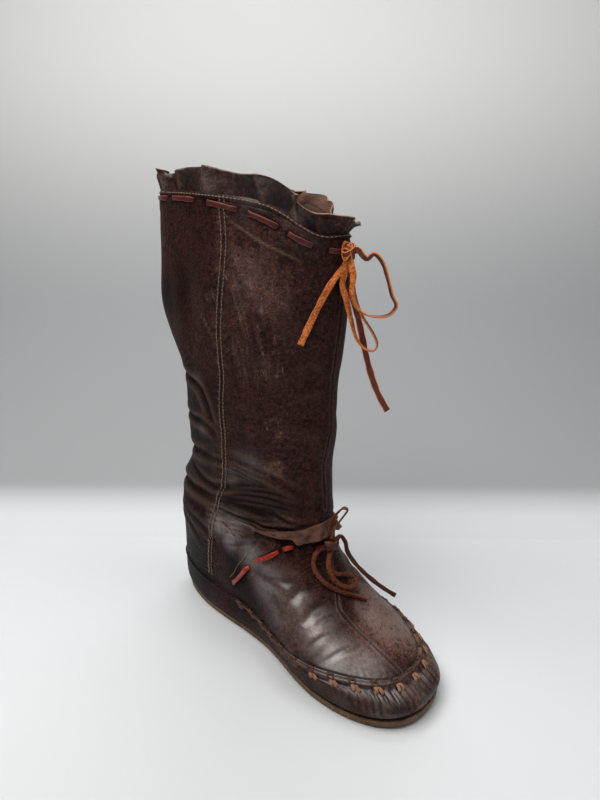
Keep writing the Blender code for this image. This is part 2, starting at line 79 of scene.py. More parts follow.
# %% Sockets that do sums
class Wire:
    """A node's output, with Python's operators."""

    def __init__(self, tree, socket):
        self.tree = tree
        self.socket = socket

    def make(self, kind, settings=(), feeds=(), out=0):
        """A new node in the same tree: settings first, then the values or links of its sockets."""
        node = self.tree.nodes.new(kind)
        for name, value in dict(settings).items():
            setattr(node, name, value)
        for name, value in dict(feeds).items():
            if isinstance(value, Wire):
                self.tree.links.new(value.socket, node.inputs[name])
            elif hasattr(value, "__len__") and node.inputs[name].type == "RGBA":
                node.inputs[name].default_value = (*value, 1)
            else:
                node.inputs[name].default_value = value
        return Wire(self.tree, node.outputs[out])

    def sum(self, operation, a, b):
        return self.make("ShaderNodeMath", {"operation": operation}, {0: a, 1: b})

    def __add__(self, other):
        return self.sum("ADD", self, other)

    __radd__ = __add__

    def __sub__(self, other):
        return self.sum("SUBTRACT", self, other)

    def __rsub__(self, other):
        return self.sum("SUBTRACT", other, self)

    def __mul__(self, other):
        return self.sum("MULTIPLY", self, other)

    def rise(self, low, high):
        """0 up to low and 1 from high, smooth between; the other way round where high is below low."""
        return self.make(
            "ShaderNodeMapRange",
            {"interpolation_type": "SMOOTHSTEP"},
            {"Value": self, "From Min": min(low, high), "From Max": max(low, high),
             "To Min": float(low > high), "To Max": float(low < high)},
        )

    def blend(self, low, high):
        """A colour from low to high as this value goes from 0 to 1."""
        return self.make("ShaderNodeMix", {"data_type": "RGBA"}, {0: self, 6: low, 7: high}, 2)


class Finish:
    """A new material, with the wires that most of them start from."""

    def __init__(self, name):
        self.material = bpy.data.materials.new(name)
        self.material.use_nodes = True
        self.tree = self.material.node_tree
        self.shader = self.tree.nodes["Principled BSDF"]
        start = self.tree.nodes.new("ShaderNodeTexCoord")
        self.place = Wire(self.tree, start.outputs["Object"])

    def noise(self, size, detail=4.0, rough=0.55, stretch=(1, 1, 1), turn=0.0):
        """Cloudy noise whose lumps are about size metres across, squeezed by stretch and turned about Y."""
        at = self.place
        if stretch != (1, 1, 1):
            at = at.make("ShaderNodeMapping", {"vector_type": "TEXTURE"},
                         {"Vector": at, "Scale": tuple(1 / a for a in stretch), "Rotation": (0, turn, 0)})
        return at.make("ShaderNodeTexNoise", {},
                       {"Vector": at, "Scale": 1 / size, "Detail": detail, "Roughness": rough})

    def cells(self, size):
        return self.place.make("ShaderNodeTexVoronoi", {}, {"Vector": self.place, "Scale": 1 / size})

    def painted(self, name):
        """A number that the mesh carries at each of its points."""
        return self.place.make("ShaderNodeAttribute", {"attribute_name": name}, {}, 2)

    def set(self, **values):
        for name, value in values.items():
            socket = self.shader.inputs[name.replace("_", " ")]
            if isinstance(value, Wire):
                self.tree.links.new(value.socket, socket)
            else:
                socket.default_value = value

    def bump(self, height, distance, strength, under=None):
        feeds = {"Height": height, "Distance": distance, "Strength": strength}
        if under:
            feeds["Normal"] = under
        return self.place.make("ShaderNodeBump", {}, feeds)


print("wires ready")

# %% [markdown]
# ## The shoe's own sizes
# The model was built from a few named sizes and three short tables, one row for each section. The
# fine hide has to lie on that model, so the same sizes and the same sums are repeated here, worked
# on whole arrays at once. A place on the hide is u, the way round from the heel past the inner side
# (0) to the toe (0.5) and back, and v, the row counted from the sole to the collar.

# %% Sizes and tables
sole_length = 268 * MM
ball_half = 50 * MM
sole_thick = 5 * MM
toe_spring = 3.5 * MM
arch_lift = 1.2 * MM
welt_step = 0.8 * MM
heel_seat = 40 * MM
toe_in = 9 * MM
leather = 1.8 * MM
seam_height = 26 * MM
instep_height = 88 * MM
seam_ridge = 1.2 * MM
shaft_depth = 166 * MM
shaft_half = 38 * MM
shaft_middle = 84 * MM
collar_height = 364 * MM
gap = 0.3 * MM
foot_blunt, shaft_blunt = 0.8, 0.9
SEAM_ROW, ANKLE_ROW, COLLAR_ROW = 3, 8, 18
STATIONS = np.array((0, 0.27, 0.48, 0.66, 0.83, 1))
FOOT = (
    # back, front, halves at heel, waist, ball, toe, heights at back, heel, waist, ball, toe, front
    (0.007, 0.992, 0.59, 0.70, 0.98, 0.71, 0, 0, 0, 0, 0, 0),
    (-0.006, 1.003, 0.66, 0.78, 1.055, 0.77, 0.30, 0.30, 0.30, 0.30, 0.30, 0.30),
    (-0.010, 0.984, 0.68, 0.80, 1.085, 0.74, 0.85, 0.80, 0.75, 0.70, 0.70, 0.70),
    (-0.006, 0.940, 0.68, 0.78, 1.07, 0.68, 1.55, 1.40, 1.15, 1.0, 1.0, 1.0),
    (-0.004, 0.880, 0.68, 0.82, 0.92, 0.58, 0.35, 0.32, 0.29, 0.22, 0.16, 0.13),
    (0.000, 0.813, 0.68, 0.79, 0.84, 0.50, 0.56, 0.55, 0.52, 0.42, 0.29, 0.23),
    (0.004, 0.746, 0.69, 0.77, 0.78, 0.45, 0.77, 0.76, 0.74, 0.64, 0.42, 0.33),
    (0.004, 0.683, 0.70, 0.76, 0.75, 0.45, 0.95, 0.94, 0.94, 0.87, 0.64, 0.52),
    (0.018, 0.619, 0.72, 0.76, 0.75, 0.45, 1.15, 1.13, 1.15, 1.10, 1.02, 0.98),
)
SHAFT = (
    # middle, depth, half, lean, turn, heights at back, middle, front, dip before the front
    (-0.030, 0.985, 1.00, 0.10, 1, 0.10, 0.09, 0.07, 0),
    (0.000, 0.885, 0.98, 0.12, 2, 0.18, 0.17, 0.15, 0),
    (-0.012, 0.896, 0.97, 0.14, 3, 0.26, 0.25, 0.24, 0),
    (-0.010, 0.910, 0.98, 0.15, 4, 0.34, 0.33, 0.32, 0),
    (-0.007, 0.896, 1.00, 0.15, 6, 0.42, 0.41, 0.40, 0),
    (-0.015, 0.912, 1.00, 0.15, 8, 0.50, 0.49, 0.48, 0),
    (-0.060, 1.055, 1.00, 0.14, 9, 0.64, 0.63, 0.60, 0),
    (-0.050, 1.045, 1.00, 0.12, 10, 0.78, 0.765, 0.72, 0),
    (-0.040, 1.025, 1.00, 0.10, 10, 0.91, 0.89, 0.81, 0.006),
    (-0.035, 1.020, 1.00, 0.10, 10, 1.00, 0.975, 0.88, 0.036),
)


def through(xs, ys, x):
    """A smooth curve through the given points, read at each x. ys may have a row for each x."""
    xs = np.asarray(xs, float)
    ys = np.asarray(ys, float)
    x = np.asarray(x, float)
    last = len(xs) - 1
    i = np.searchsorted(xs[1:-1], x)
    before = np.maximum(np.arange(last + 1) - 1, 0)
    after = np.minimum(np.arange(last + 1) + 1, last)
    slopes = (ys[..., after] - ys[..., before]) / (xs[after] - xs[before])

    def pick(rows, k):
        if rows.ndim == 1:
            return rows[k]
        return np.take_along_axis(rows, k[..., None], -1)[..., 0]

    wide = xs[i + 1] - xs[i]
    t = (x - xs[i]) / wide
    low, high = pick(ys, i), pick(ys, i + 1)
    bend = (1 - t) * pick(slopes, i) - t * pick(slopes, i + 1)
    return low + (high - low) * (3 - 2 * t) * t * t + wide * t * (1 - t) * bend


def foot_row(row, low, high):
    """A row of the foot as real sizes."""
    heights = [low + share * (high - low) for share in row[6:12]]
    halves = [half * ball_half for half in row[2:6]]
    return [row[0] * sole_length, row[1] * sole_length, *halves, *heights, foot_blunt, 0, 0]


def shaft_row(row):
    """A row of the shaft as real sizes."""
    middle, depth, half, lean, turn, back_up, middle_up, front_up, dip = row
    centre = shaft_middle + middle * shaft_depth
    reach = depth * shaft_depth / 2
    rise = collar_height - instep_height
    heights = instep_height + rise * through((0, 0.5, 1), (back_up, middle_up, front_up), STATIONS)
    heights[4] -= dip * rise
    halves = half * shaft_half * np.sin(np.pi * STATIONS[1:5]) ** shaft_blunt
    return [centre - reach, centre + reach, *halves, *heights, shaft_blunt, lean * shaft_half, turn]


ROWS = np.array(
    [foot_row(row, sole_thick + gap, seam_height) for row in FOOT[:4]]
    + [foot_row(row, seam_height, instep_height) for row in FOOT[4:]]
    + [shaft_row(row) for row in SHAFT]
)
print("sections:", len(ROWS))

# %% [markdown]
# ## A point of the hide
# One function turns u and v into a point. Each section's half width follows a rounded curve between
# its heel and its toe, and the shaft's sections also lean and turn a little, as the slack leg of a
# soft boot does. The way out is the cross product of two short steps over the surface.

# %% Points and the way out
def toe_shift(x):
    past = np.maximum(x / sole_length - 0.5, 0) / 0.5
    return -toe_in * past * past


def spring(x):
    past = np.maximum(x / sole_length - 0.8, 0) / 0.2
    return toe_spring * past * past


def loop(sizes, u):
    """Points of the sections with the given sizes."""
    back, front = sizes[..., 0], sizes[..., 1]
    blunt, lean, turn = sizes[..., 12], sizes[..., 13], np.radians(sizes[..., 14])
    side = np.where(u < 0.5, -1.0, 1.0)
    s = np.where(u < 0.5, 2 * u, 2 - 2 * u)
    full = sizes[..., 2:6] / np.sin(np.pi * STATIONS[1:5]) ** blunt[..., None]
    full = np.concatenate([full[..., :1], full, full[..., 3:]], -1)
    half = through(STATIONS, full, s) * np.abs(np.sin(np.pi * s)) ** blunt
    x = back + (front - back) * (1 - np.cos(np.pi * s)) / 2
    z = through(STATIONS, sizes[..., 6:12], s)
    middle = (back + front) / 2
    dx, dy = x - middle, side * half
    x = middle + dx * np.cos(turn) - dy * np.sin(turn)
    y = dx * np.sin(turn) + dy * np.cos(turn) + lean
    return np.stack([x, y, z], -1)


def bare(u, v):
    """Points of the plain hide, heel to toe and sole to collar."""
    u, v = np.broadcast_arrays(np.asarray(u, float) % 1, np.asarray(v, float))
    sizes = np.stack([through(np.arange(len(ROWS)), column, v) for column in ROWS.T], -1)
    points = loop(sizes, u)
    foot = 1 - np.clip((v - SEAM_ROW) / (ANKLE_ROW - SEAM_ROW), 0, 1)
    x = points[..., 0]
    points[..., 1] += toe_shift(x) * np.where(v < SEAM_ROW, 1, 0.4 + 0.6 * foot)
    points[..., 2] += spring(x) * np.maximum(1 - v / SEAM_ROW, 0)
    points[..., 0] -= heel_seat
    return points


def unit(a):
    return a / np.maximum(np.linalg.norm(a, axis=-1, keepdims=True), 1e-12)


def run_along(points):
    """The length of the way through the points up to each."""
    return np.concatenate([[0], np.cumsum(np.linalg.norm(np.diff(points, axis=0), axis=1))])


def bell(x, width):
    """1 where x is 0, fading over width on both sides."""
    return np.exp(-((x / width) ** 2))


round_step = 0.004


def outward(u, v):
    """The way out of the plain hide."""
    row_step = 0.02
    across = bare(u + round_step, v) - bare(u - round_step, v)
    v = np.asarray(v, float)
    up = bare(u, np.minimum(v + row_step, COLLAR_ROW)) - bare(u, np.maximum(v - row_step, 0))
    return unit(np.cross(across, up))


print("collar at", np.round(bare(np.array([0, 0.25, 0.5]), COLLAR_ROW) / MM, 1).tolist())

# %% [markdown]
# ## Creases
# Leather folds where the foot bends and where the slack shaft sinks onto the ankle. Each crease is a short
# line over the hide with a depth and a width in millimetres: a soft trough, with a lip beside it where the
# leather is pushed up. The far side gets most of them too, a little shifted, because a boot wears alike on
# both sides. The seams and a groove down the toe are lines of the same kind, and the scratches are thin
# lines that only mark the dye: twelve listed, and more from seeded numbers.

# %% The creases
CREASES = (
    # depth, width, lip, 1 for both sides, then u in thousandths and v of each place
    (2.3, 3, 0.7, 1, 50, 13.6, 121, 13.5, 169, 13.3, 192, 12.8, 206, 12.3, 219, 11.7),
    (2.2, 2.8, 0.7, 1, 20, 11.9, 135, 11.8, 167, 11.85, 196, 11.8, 219, 11.55, 231, 11.4),
    (2.4, 3.4, 0.5, 1, -20, 10.5, 60, 10.4, 115, 10.4, 158, 10.5, 194, 10.65, 221, 10.9),
    (1.1, 2.8, 0.6, 1, 225, 10.95, 273, 10.9, 300, 10.84, 321, 10.7, 348, 10.57, 373, 10.4, 406, 10.2,
     438, 10.1),
    (0.9, 2.2, 0.6, 1, 170, 10.5, 200, 10.55, 229, 10.62, 265, 10.74),
    (1.3, 2.6, 0.8, 1, 120, 9.8, 179, 9.53, 219, 9.5, 242, 9.64, 283, 10, 310, 10.2),
    (0.8, 1.1, 0.8, 1, 258, 10.7, 285, 10.64, 312, 10.52, 338, 10.44, 360, 10.3),
    (0.7, 1, 0.8, 1, 250, 10.56, 275, 10.5, 305, 10.38, 332, 10.32),
    (0.7, 1, 0.8, 1, 262, 10.4, 290, 10.3, 315, 10.25),
    (0.8, 1.1, 0.7, 1, 244, 9.56, 283, 9.8, 317, 9.96, 352, 10.02, 388, 9.96, 427, 9.88),
    (0.7, 1, 0.7, 1, 262, 9.5, 300, 9.7, 340, 9.8, 380, 9.76),
    (0.6, 1, 0.7, 0, 270, 9.34, 310, 9.5, 360, 9.56, 410, 9.5),
    (2.4, 3.2, 0.7, 1, -20, 8.7, 60, 8.85, 125, 8.92, 163, 8.92, 196, 8.96, 250, 9),
    (2.4, 2, 0.9, 1, 225, 8.62, 252, 8.62, 283, 8.66, 315, 8.7, 340, 8.62, 367, 8.7, 400, 8.8, 450, 9.1),
    (-2.4, 5, 0, 1, 220, 9.05, 260, 9.05, 310, 9, 360, 9.05, 410, 9.2, 450, 9.3),
    (1.2, 1.8, 0.8, 1, 354, 9.26, 377, 9.15, 398, 9.04, 427, 9.04),
    (0.9, 1.5, 0.8, 0, 260, 8.95, 300, 8.9, 330, 8.85, 370, 8.95),
    (0.9, 6, 0.3, 1, 390, 14.1, 423, 14.06, 460, 14.1),
    (0.7, 6, 0.3, 1, 400, 12.85, 433, 12.67, 470, 12.64),
    (0.8, 9, 0.3, 1, 300, 15.2, 360, 14.6, 420, 14.5),
    (1, 8, 0.3, 0, 160, 16.4, 180, 15.3, 170, 14.4),
    (0.9, 3.8, 0.7, 1, 275, 6.3, 300, 6.26, 321, 6.34, 348, 6.52, 381, 6.83, 412, 7.09),
    (1, 3.6, 0.7, 1, 327, 5.14, 352, 5.85, 377, 6.49, 410, 7.01),
    (0.9, 3.6, 0.7, 1, 348, 4.58, 365, 5.17, 394, 6, 425, 6.52),
    (0.45, 2.2, 0.8, 1, 338, 3.41, 344, 3.64, 356, 4.01, 373, 4.42, 396, 4.84),
    (0.35, 2, 0.8, 0, 362, 3.38, 375, 3.67, 398, 4.12, 427, 4.5, 462, 4.84),
    (0.4, 2, 0.8, 0, 372, 4.9, 388, 5.3, 410, 5.7, 430, 5.9),
    (0.5, 4.5, 0.4, 1, 302, 5.92, 317, 5.66, 323, 5.17, 329, 4.69),
    (1, 1.6, 0.8, 1, 237, 6.6, 262, 7, 281, 7.3, 315, 7.88, 333, 8.21),
    (1, 1.6, 0.8, 0, 302, 7.31, 323, 7.88, 333, 8.21),
    (0.9, 1.1, 1, 0, 250, 7.7, 280, 8.05, 310, 8.3),
    (0.8, 1, 1, 0, 245, 7.4, 262, 7.7, 290, 7.75),
    (0.8, 1, 1, 0, 240, 8.1, 262, 8, 275, 7.6, 272, 7.2),
    (0.7, 0.9, 1, 0, 262, 8.3, 275, 8, 300, 7.95),
    (0.8, 1.3, 0.8, 1, 270, 8.3, 300, 8.4, 330, 8.45),
    (1, 3, 0.6, 1, 130, 7.9, 170, 7.4, 200, 6.6, 210, 5.6),
    (1.2, 3.5, 0.6, 1, 30, 7.6, 90, 7.3, 140, 6.6, 170, 5.6),
)
SEAMS = (
    # the same columns: down the vamp, down the toe, down the shaft's front, down its side
    (1.1, 0.9, 1.2, 0, 502, 7.76, 492, 7.35, 479, 6.9, 458, 6.34, 459, 5.74, 462, 5.17, 471, 4.65, 477,
     4.09, 483, 3.6, 487, 3.22),
    (0.9, 1, 0.6, 0, 487, 2.75, 496, 2.4, 498, 2, 500, 1.4, 500, 0.6),
    (1.1, 0.9, 0.9, 0, 490, 17, 488, 15.8, 485, 14.9, 488, 14.3, 496, 13.7, 498, 13.1, 500, 12.4, 492, 12,
     490, 11.6, 487, 11.1, 490, 10.65, 494, 10.24, 496, 9.6),
    (0.45, 0.9, 0.5, 1, 258, 18, 259, 17.36, 260, 16.76, 258, 16.3, 254, 15.7, 251, 15.2, 246, 14.66, 240,
     14.1, 236, 13.24, 238, 12.45, 243, 11.62, 244, 10.46, 243, 9.64, 242, 9.1, 236, 8.6, 221, 7.88, 198,
     6.19, 183, 4.69, 176, 3.6),
)
SCRATCHES = (
    # strength, then u in thousandths and v of each place
    (1, 269, 17.25, 296, 17.02, 323, 16.84, 350, 16.72, 385, 16.61),
    (0.6, 273, 16.16, 287, 15.56, 300, 15),
    (0.6, 294, 16.35, 306, 15.9, 317, 15.6),
    (0.5, 306, 15.75, 315, 15.5, 323, 15.3),
    (0.6, 270, 15.9, 285, 15.3, 296, 14.8),
    (0.5, 280, 16.5, 290, 16.2, 296, 15.9),
    (0.4, 310, 15.1, 318, 14.8, 327, 14.5),
    (0.4, 358, 15.7, 366, 15.5, 373, 15.3),
    (0.6, 212, 15.26, 224, 15, 235, 14.74),
    (0.5, 262, 15.45, 280, 15.42, 298, 15.3),
    (0.5, 700, 15.6, 712, 15, 720, 14.5),
    (0.5, 660, 14.9, 672, 14.4, 690, 14),
)


def with_lines(table, lead):
    """Each row as its first numbers and a line of (u, v) places."""
    return [(*row[:lead], np.array(row[lead:], float).reshape(-1, 2) / (1000, 1)) for row in table]


CREASES, SEAMS, SCRATCHES = with_lines(CREASES, 4), with_lines(SEAMS, 4), with_lines(SCRATCHES, 1)
SIDE_SEAM = SEAMS[3][4]
draw = random.Random(11)
scratch_count = 46
for k in range(scratch_count):
    su, sv = draw.uniform(0.265, 0.365), draw.uniform(14.2, 16.7)
    lean, long = draw.uniform(-0.006, 0.020), draw.uniform(0.25, 0.8)
    if k % 5 == 4:
        su = 1 - su
    strength = draw.uniform(0.10, 0.38)
    SCRATCHES.append((strength, ((su, sv), (su + lean * 0.6, sv - long * 0.5), (su + lean, sv - long))))


def far(line):
    """The same line on the boot's other side."""
    return np.array(line) * (-1, 1) + (1, 0)


def worn_alike(line):
    """A crease on the boot's other side, nearly the mirrored one."""
    return [(1 - a - 0.006 * math.sin(40 * a), b + 0.07 * math.sin(9 * b)) for a, b in line]


def beside(points, path, reach):
    """Which points lie within reach of the path's box."""
    return np.all((points > path.min(0) - reach) & (points < path.max(0) + reach), axis=1)


def line_points(line, count=4):
    """A smooth line over the hide through its (u, v) places."""
    fine = np.linspace(0, len(line) - 1, (len(line) - 1) * count + 1)
    u, v = (through(np.arange(len(line)), column, fine) for column in np.array(line, float).T)
    return u, v, bare(u, v)


def near_line(points, path):
    """Each point's distance from a path, and how far along it the nearest place is, from 0 to 1."""
    best = np.full(len(points), 1e9)
    along = np.zeros(len(points))
    steps = np.linalg.norm(np.diff(path, axis=0), axis=1)
    run = run_along(path)
    for k in range(len(path) - 1):
        a, b = path[k], path[k + 1]
        t = np.clip((points - a) @ (b - a) / max((b - a) @ (b - a), 1e-12), 0, 1)
        d = np.linalg.norm(points - (a + t[:, None] * (b - a)), axis=1)
        closer = d < best
        best[closer] = d[closer]
        along[closer] = (run[k] + t[closer] * steps[k]) / run[-1]
    return best, along


def tapered(along, power):
    """1 along the middle of a line, less towards its ends."""
    return np.sin(np.pi * np.clip(along, 0.02, 0.98)) ** power


def trough(points, line, depth, width, lip, ends=True):
    """How far one crease moves each point, in metres; then the painted shade of its trough and the paleness
    of its lip, part wear and part painted highlight, as numbers from 0 to 1.
    """
    path = line_points(line)[2]
    close = beside(points, path, 5 * width * MM)
    moved, painted_shade, pale_wear_and_highlight = (np.zeros(len(points)) for _ in range(3))
    if not close.any():
        return moved, painted_shade, pale_wear_and_highlight
    d, along = near_line(points[close], path)
    d = d / (width * MM)
    fade = tapered(along, 0.6) if ends else 1.0
    dip = bell(d, 1) * fade
    rim = bell(d - 1.9, 1) * fade
    moved[close] = depth * MM * (0.45 * lip * rim - dip)
    if depth > 0:
        strength = min(1, 0.4 + 0.25 * depth)
        painted_shade[close] = dip * strength * min(1, 2.2 / width)
        pale_wear_and_highlight[close] = rim * lip * strength
    return moved, painted_shade, pale_wear_and_highlight


print("creases:", len(CREASES), "seams:", len(SEAMS))

# %% [markdown]
# ## The gathered toe
# A moccasin's wall is longer than the edge it is sewn to, so it is drawn up in small radial puckers under
# the thong. They are worked out from the distance round the toe, deep at the front and fading along the
# sides, and the seam itself stands up as a rim between two grooves. The same function adds the short
# wrinkles that a tight side seam pulls across itself, the casing and the slots. It also paints shade into
# the puckers' valleys, the grooves, the slots, round the drawstrings' bars and under the flap, and paints
# the ridges paler, part wear and part painted highlight.

# %% Puckers, rims and slots
stitch_pitch = 16 * MM
ring_u = np.linspace(0, 1, 721)
ring = bare(ring_u, np.full(721, 2.8))
ring_run = run_along(ring)
ring_run -= np.interp(0.5, ring_u, ring_run)

COLLAR_WAY = ((0.00, 17.72), (0.10, 17.74), (0.20, 17.75), (0.30, 17.55), (0.40, 17.20), (0.50, 17.28))
ANKLE_WAY = (
    (0.20, 3.60), (0.227, 4.24), (0.273, 5.89), (0.300, 6.71), (0.369, 7.88), (0.404, 8.20), (0.50, 8.20),
)
COLLAR_SLOTS = (0.446, 0.408, 0.365, 0.346, 0.300, 0.281, 0.231, 0.205, 0.150, 0.122, 0.075)
ANKLE_SLOTS = (0.474, 0.404, 0.385, 0.369, 0.300, 0.273, 0.227)
FLAP = np.array((
    # u, lower row, upper row
    (0.325, 8.40, 8.46), (0.370, 8.44, 8.66), (0.400, 8.46, 8.78), (0.422, 8.34, 8.86), (0.448, 8.46, 9.02),
    (0.500, 8.66, 9.16),
))
HEM_WAY = ((0, 17.3), (0.19, 17.3), (0.26, 17.28), (0.304, 16.95), (0.385, 16.62), (0.5, 16.5))
toe_pull = 95 * MM


def on_way(way, u):
    share = np.minimum(u % 1, 1 - u % 1)
    columns = np.array(way).T
    return through(columns[0], columns[1], np.clip(share, columns[0][0], columns[0][-1]))


def hump(x, low, high, soft):
    """1 between low and high, fading to 0 over soft on either side."""
    up = np.clip((x - low) / soft + 0.5, 0, 1)
    down = np.clip((high - x) / soft + 0.5, 0, 1)
    return up * up * (3 - 2 * up) * down * down * (3 - 2 * down)


def relief(u, v, points):
    """How far the fine hide stands off the plain one; the painted shade of its troughs, grooves and
    puckers; its pale lips and ridges, part wear and part painted highlight; and the painted shade in its
    slots.
    """
    shape = u.shape
    u, v, flat = u.ravel(), v.ravel(), points.reshape(-1, 3)
    moved = seam_ridge * np.maximum(0, 1 - np.where(v < SEAM_ROW, SEAM_ROW - v, 2.2 * (v - SEAM_ROW)) / 0.3)
    painted_shade, pale_wear_and_highlight, dark = np.zeros(len(u)), np.zeros(len(u)), np.zeros(len(u))

    def mark(kind, amount, where=slice(None)):
        kind[where] = np.maximum(kind[where], amount)

    for table, ends in ((CREASES, True), (SEAMS, False)):
        for depth, width, lip, both, line in table:
            for one in (line, worn_alike(line)) if both else (line,):
                m, s, r = trough(flat, one, depth, width, lip, ends)
                moved += m
                mark(painted_shade, s)
                mark(pale_wear_and_highlight, r)
    for strength, line in SCRATCHES:
        path = line_points(line)[2]
        close = beside(flat, path, 4 * MM)
        d, along = near_line(flat[close], path)
        mark(pale_wear_and_highlight, 1.9 * strength * bell(d, 0.8 * MM) * tapered(along, 0.4), close)
    # The puckers under the seam, and their short ends above it, with painted shade in their valleys and
    # paler ridges, part wear and part painted highlight.
    arc = np.interp(u, ring_u, ring_run)
    front = np.clip(1.15 - np.abs(arc) / toe_pull, 0.10, 1) * (np.abs(arc) < 2 * toe_pull)
    wander = 1.4 * MM * np.sin(arc / (11 * MM)) + 0.9 * MM * np.sin(arc / (5 * MM) + 2)
    valley = (0.5 + 0.5 * np.cos(2 * np.pi * (arc + wander) / (0.31 * stitch_pitch))) ** 3
    valley *= 0.55 + 0.45 * np.sin(arc / (8.3 * MM) + 1.7 * np.sin(arc / (19 * MM)))
    reach = hump(v, 1.35 + 0.55 * np.sin(arc / (5.3 * MM)), 2.78, 0.9)
    moved += front * reach * (0.7 - 2.7 * valley) * MM
    mark(painted_shade, 1.0 * front * reach * valley)
    mark(pale_wear_and_highlight, 0.7 * front * reach * (1 - valley) ** 4)
    moved -= front * hump(v, 3.2, 3.55, 0.5) * valley * 0.5 * MM
    # The rim of the seam between its two grooves: painted shade in the grooves, and a paler rim, part wear
    # and part painted highlight.
    sides = hump(np.abs(arc), 0, 185 * MM, 12 * MM)
    for at, deep, soft in ((2.70, 0.35, 0.10), (3.17, 0.7, 0.05)):
        groove = bell(v - at, soft) * sides
        moved -= deep * MM * groove
        mark(painted_shade, 0.8 * groove)
    rim = bell(v - 3.02, 0.16) * sides
    moved += 0.2 * MM * rim * (0.6 + 0.4 * np.cos(2 * np.pi * arc / stitch_pitch))
    mark(pale_wear_and_highlight, 0.5 * rim)
    # The wrinkles that the side seams pull across themselves, with paler ridges, part wear and part painted
    # highlight.
    seam_u, seam_v = line_points(SIDE_SEAM)[:2]
    tug = 0.5 + 0.5 * np.sin(flat[:, 2] * 2 * np.pi / (5.2 * MM) + 3 * np.sin(flat[:, 2] / (9 * MM)))
    for side_u in (seam_u, 1 - seam_u):
        d = near_line(flat, bare(side_u, seam_v))[0]
        pull = bell(d, 7 * MM) * (1 - bell(d, 2.2 * MM)) * (v > 3.6)
        moved -= 0.8 * MM * pull * tug ** 2
        mark(pale_wear_and_highlight, 0.45 * pull * (1 - tug) ** 2)
    # The casing: a step at its hem, a puffed middle, and the gathers at the collar, with painted shade in
    # the groove under the collar's roll and a paler roll, part wear and part painted highlight.
    hem = on_way(HEM_WAY, u)
    moved += 0.35 * MM / (1 + np.exp(-np.clip((v - hem) / 0.02, -30, 30)))
    puff = np.sin(np.clip((v - hem) / np.maximum(COLLAR_ROW - hem, 0.1), 0, 1) * np.pi)
    moved += 0.5 * MM * puff * (v > hem)
    moved += 0.7 * MM * bell(v - 17.9, 0.045) - 0.5 * MM * bell(v - 17.79, 0.04)
    mark(painted_shade, 0.7 * bell(v - 17.80, 0.04))
    mark(pale_wear_and_highlight, 0.4 * bell(v - 17.92, 0.04))
    gathers = 0.5 + 0.5 * np.sin(2 * np.pi * (u * 34 + 0.3 * np.sin(2 * np.pi * u * 7)))
    moved -= 0.5 * MM * np.clip((v - 17.62) / 0.38, 0, 1) ** 2 * gathers
    # A slight unevenness of the whole shaft.
    x, z = flat[:, 0], flat[:, 2]
    moved += 0.35 * MM * np.sin(x / (13 * MM) + 2 * np.sin(z / (29 * MM))) * (v > 8.5)
    moved += 0.25 * MM * np.sin(z / (8 * MM) + 3 * np.sin(x / (21 * MM))) * (v > 8.5)
    # The slots, sunk and filled with painted shade, and painted shade round the drawstrings' bars and under
    # the flap's lower edge.
    for way, slots in ((COLLAR_WAY, COLLAR_SLOTS), (ANKLE_WAY, ANKLE_SLOTS)):
        holes = np.array([*slots, *[1 - s for s in slots]])
        for centre in bare(holes, on_way(way, holes)):
            recess_and_shade = bell(np.linalg.norm(flat - centre, axis=1), 2.6 * MM)
            moved -= 1.0 * MM * recess_and_shade
            mark(dark, recess_and_shade)
        for a, b in zip(slots[1::2], slots[2::2]):
            for ends in ((a, b), (1 - a, 1 - b)):
                bar_u = np.linspace(*ends, 9)
                path = bare(bar_u, on_way(way, bar_u))
                close = beside(flat, path, 8 * MM)
                mark(painted_shade, 0.95 * bell(near_line(flat[close], path)[0], 3.3 * MM), close)
    mark(painted_shade, 0.95 * bell(v - on_way(FLAP, u) + 0.03, 0.09) * (np.minimum(u, 1 - u) > 0.325))
    return [a.reshape(shape) for a in (moved, painted_shade, pale_wear_and_highlight, dark)]


print("seam round the toe, mm:", round(float(ring_run[-1] - ring_run[0]) / MM))

# %% [markdown]
# ## The hide
# The real upper is soft calf over a cloth lining, folded where the ankle moves. It could be sculpted,
# or draped by simulation, but its folds have known places, so the plain hide is laid out as a fine
# net and each point is moved along its own way out. The inner face is a coarser net, since only its
# upper part shows, and a rolled edge joins the two at the collar.

# %% The hide's net
def mesh_piece(name, points, faces, materials, face_materials=None, marks=None):
    """A smooth mesh object from arrays, with numbers kept at its points."""
    mesh = bpy.data.meshes.new(name)
    mesh.from_pydata([tuple(p) for p in points], [], [tuple(int(i) for i in f) for f in faces])
    mesh.update()
    for finish in materials:
        mesh.materials.append(finish)
    if face_materials is not None:
        mesh.polygons.foreach_set("material_index", np.asarray(face_materials, np.int32))
    for key, values in (marks or {}).items():
        layer = mesh.attributes.new(key, "FLOAT", "POINT")
        layer.data.foreach_set("value", np.asarray(values, np.float32).ravel())
    mesh.shade_smooth()
    made = bpy.data.objects.new(name, mesh)
    bpy.context.scene.collection.objects.link(made)
    return made


def net(rows, count, closed=True, start=0):
    """Four-sided faces between rows of count points."""
    i, k = np.meshgrid(np.arange(rows - 1), np.arange(count if closed else count - 1), indexing="ij")
    a, b = i * count + k, i * count + (k + 1) % count
    return start + np.stack([a, b, b + count, a + count], -1).reshape(-1, 4)


def steps(*parts):
    """Even steps within each part, given as its start, its end and its count of points."""
    return np.concatenate([np.linspace(*part)[:-1] for part in parts])


columns = steps((0.14, 0.56, 169), (0.56, 1.14, 113))
levels = steps((0, 3, 31), (3, 8, 101), (8, 11, 71), (11, 16.4, 61), (16.4, 18, 41))
levels = np.append(levels, 18)
U, V = np.meshgrid(columns % 1, levels)
plain = bare(U, V)
away = outward(U, V)
moved, painted_shade, pale_wear_and_highlight, dark = relief(U, V, plain)
outer = plain + moved[..., None] * away
print("hide:", outer.shape[0], "rows by", outer.shape[1], "deepest mm:", round(float(moved.min()) / MM, 1))
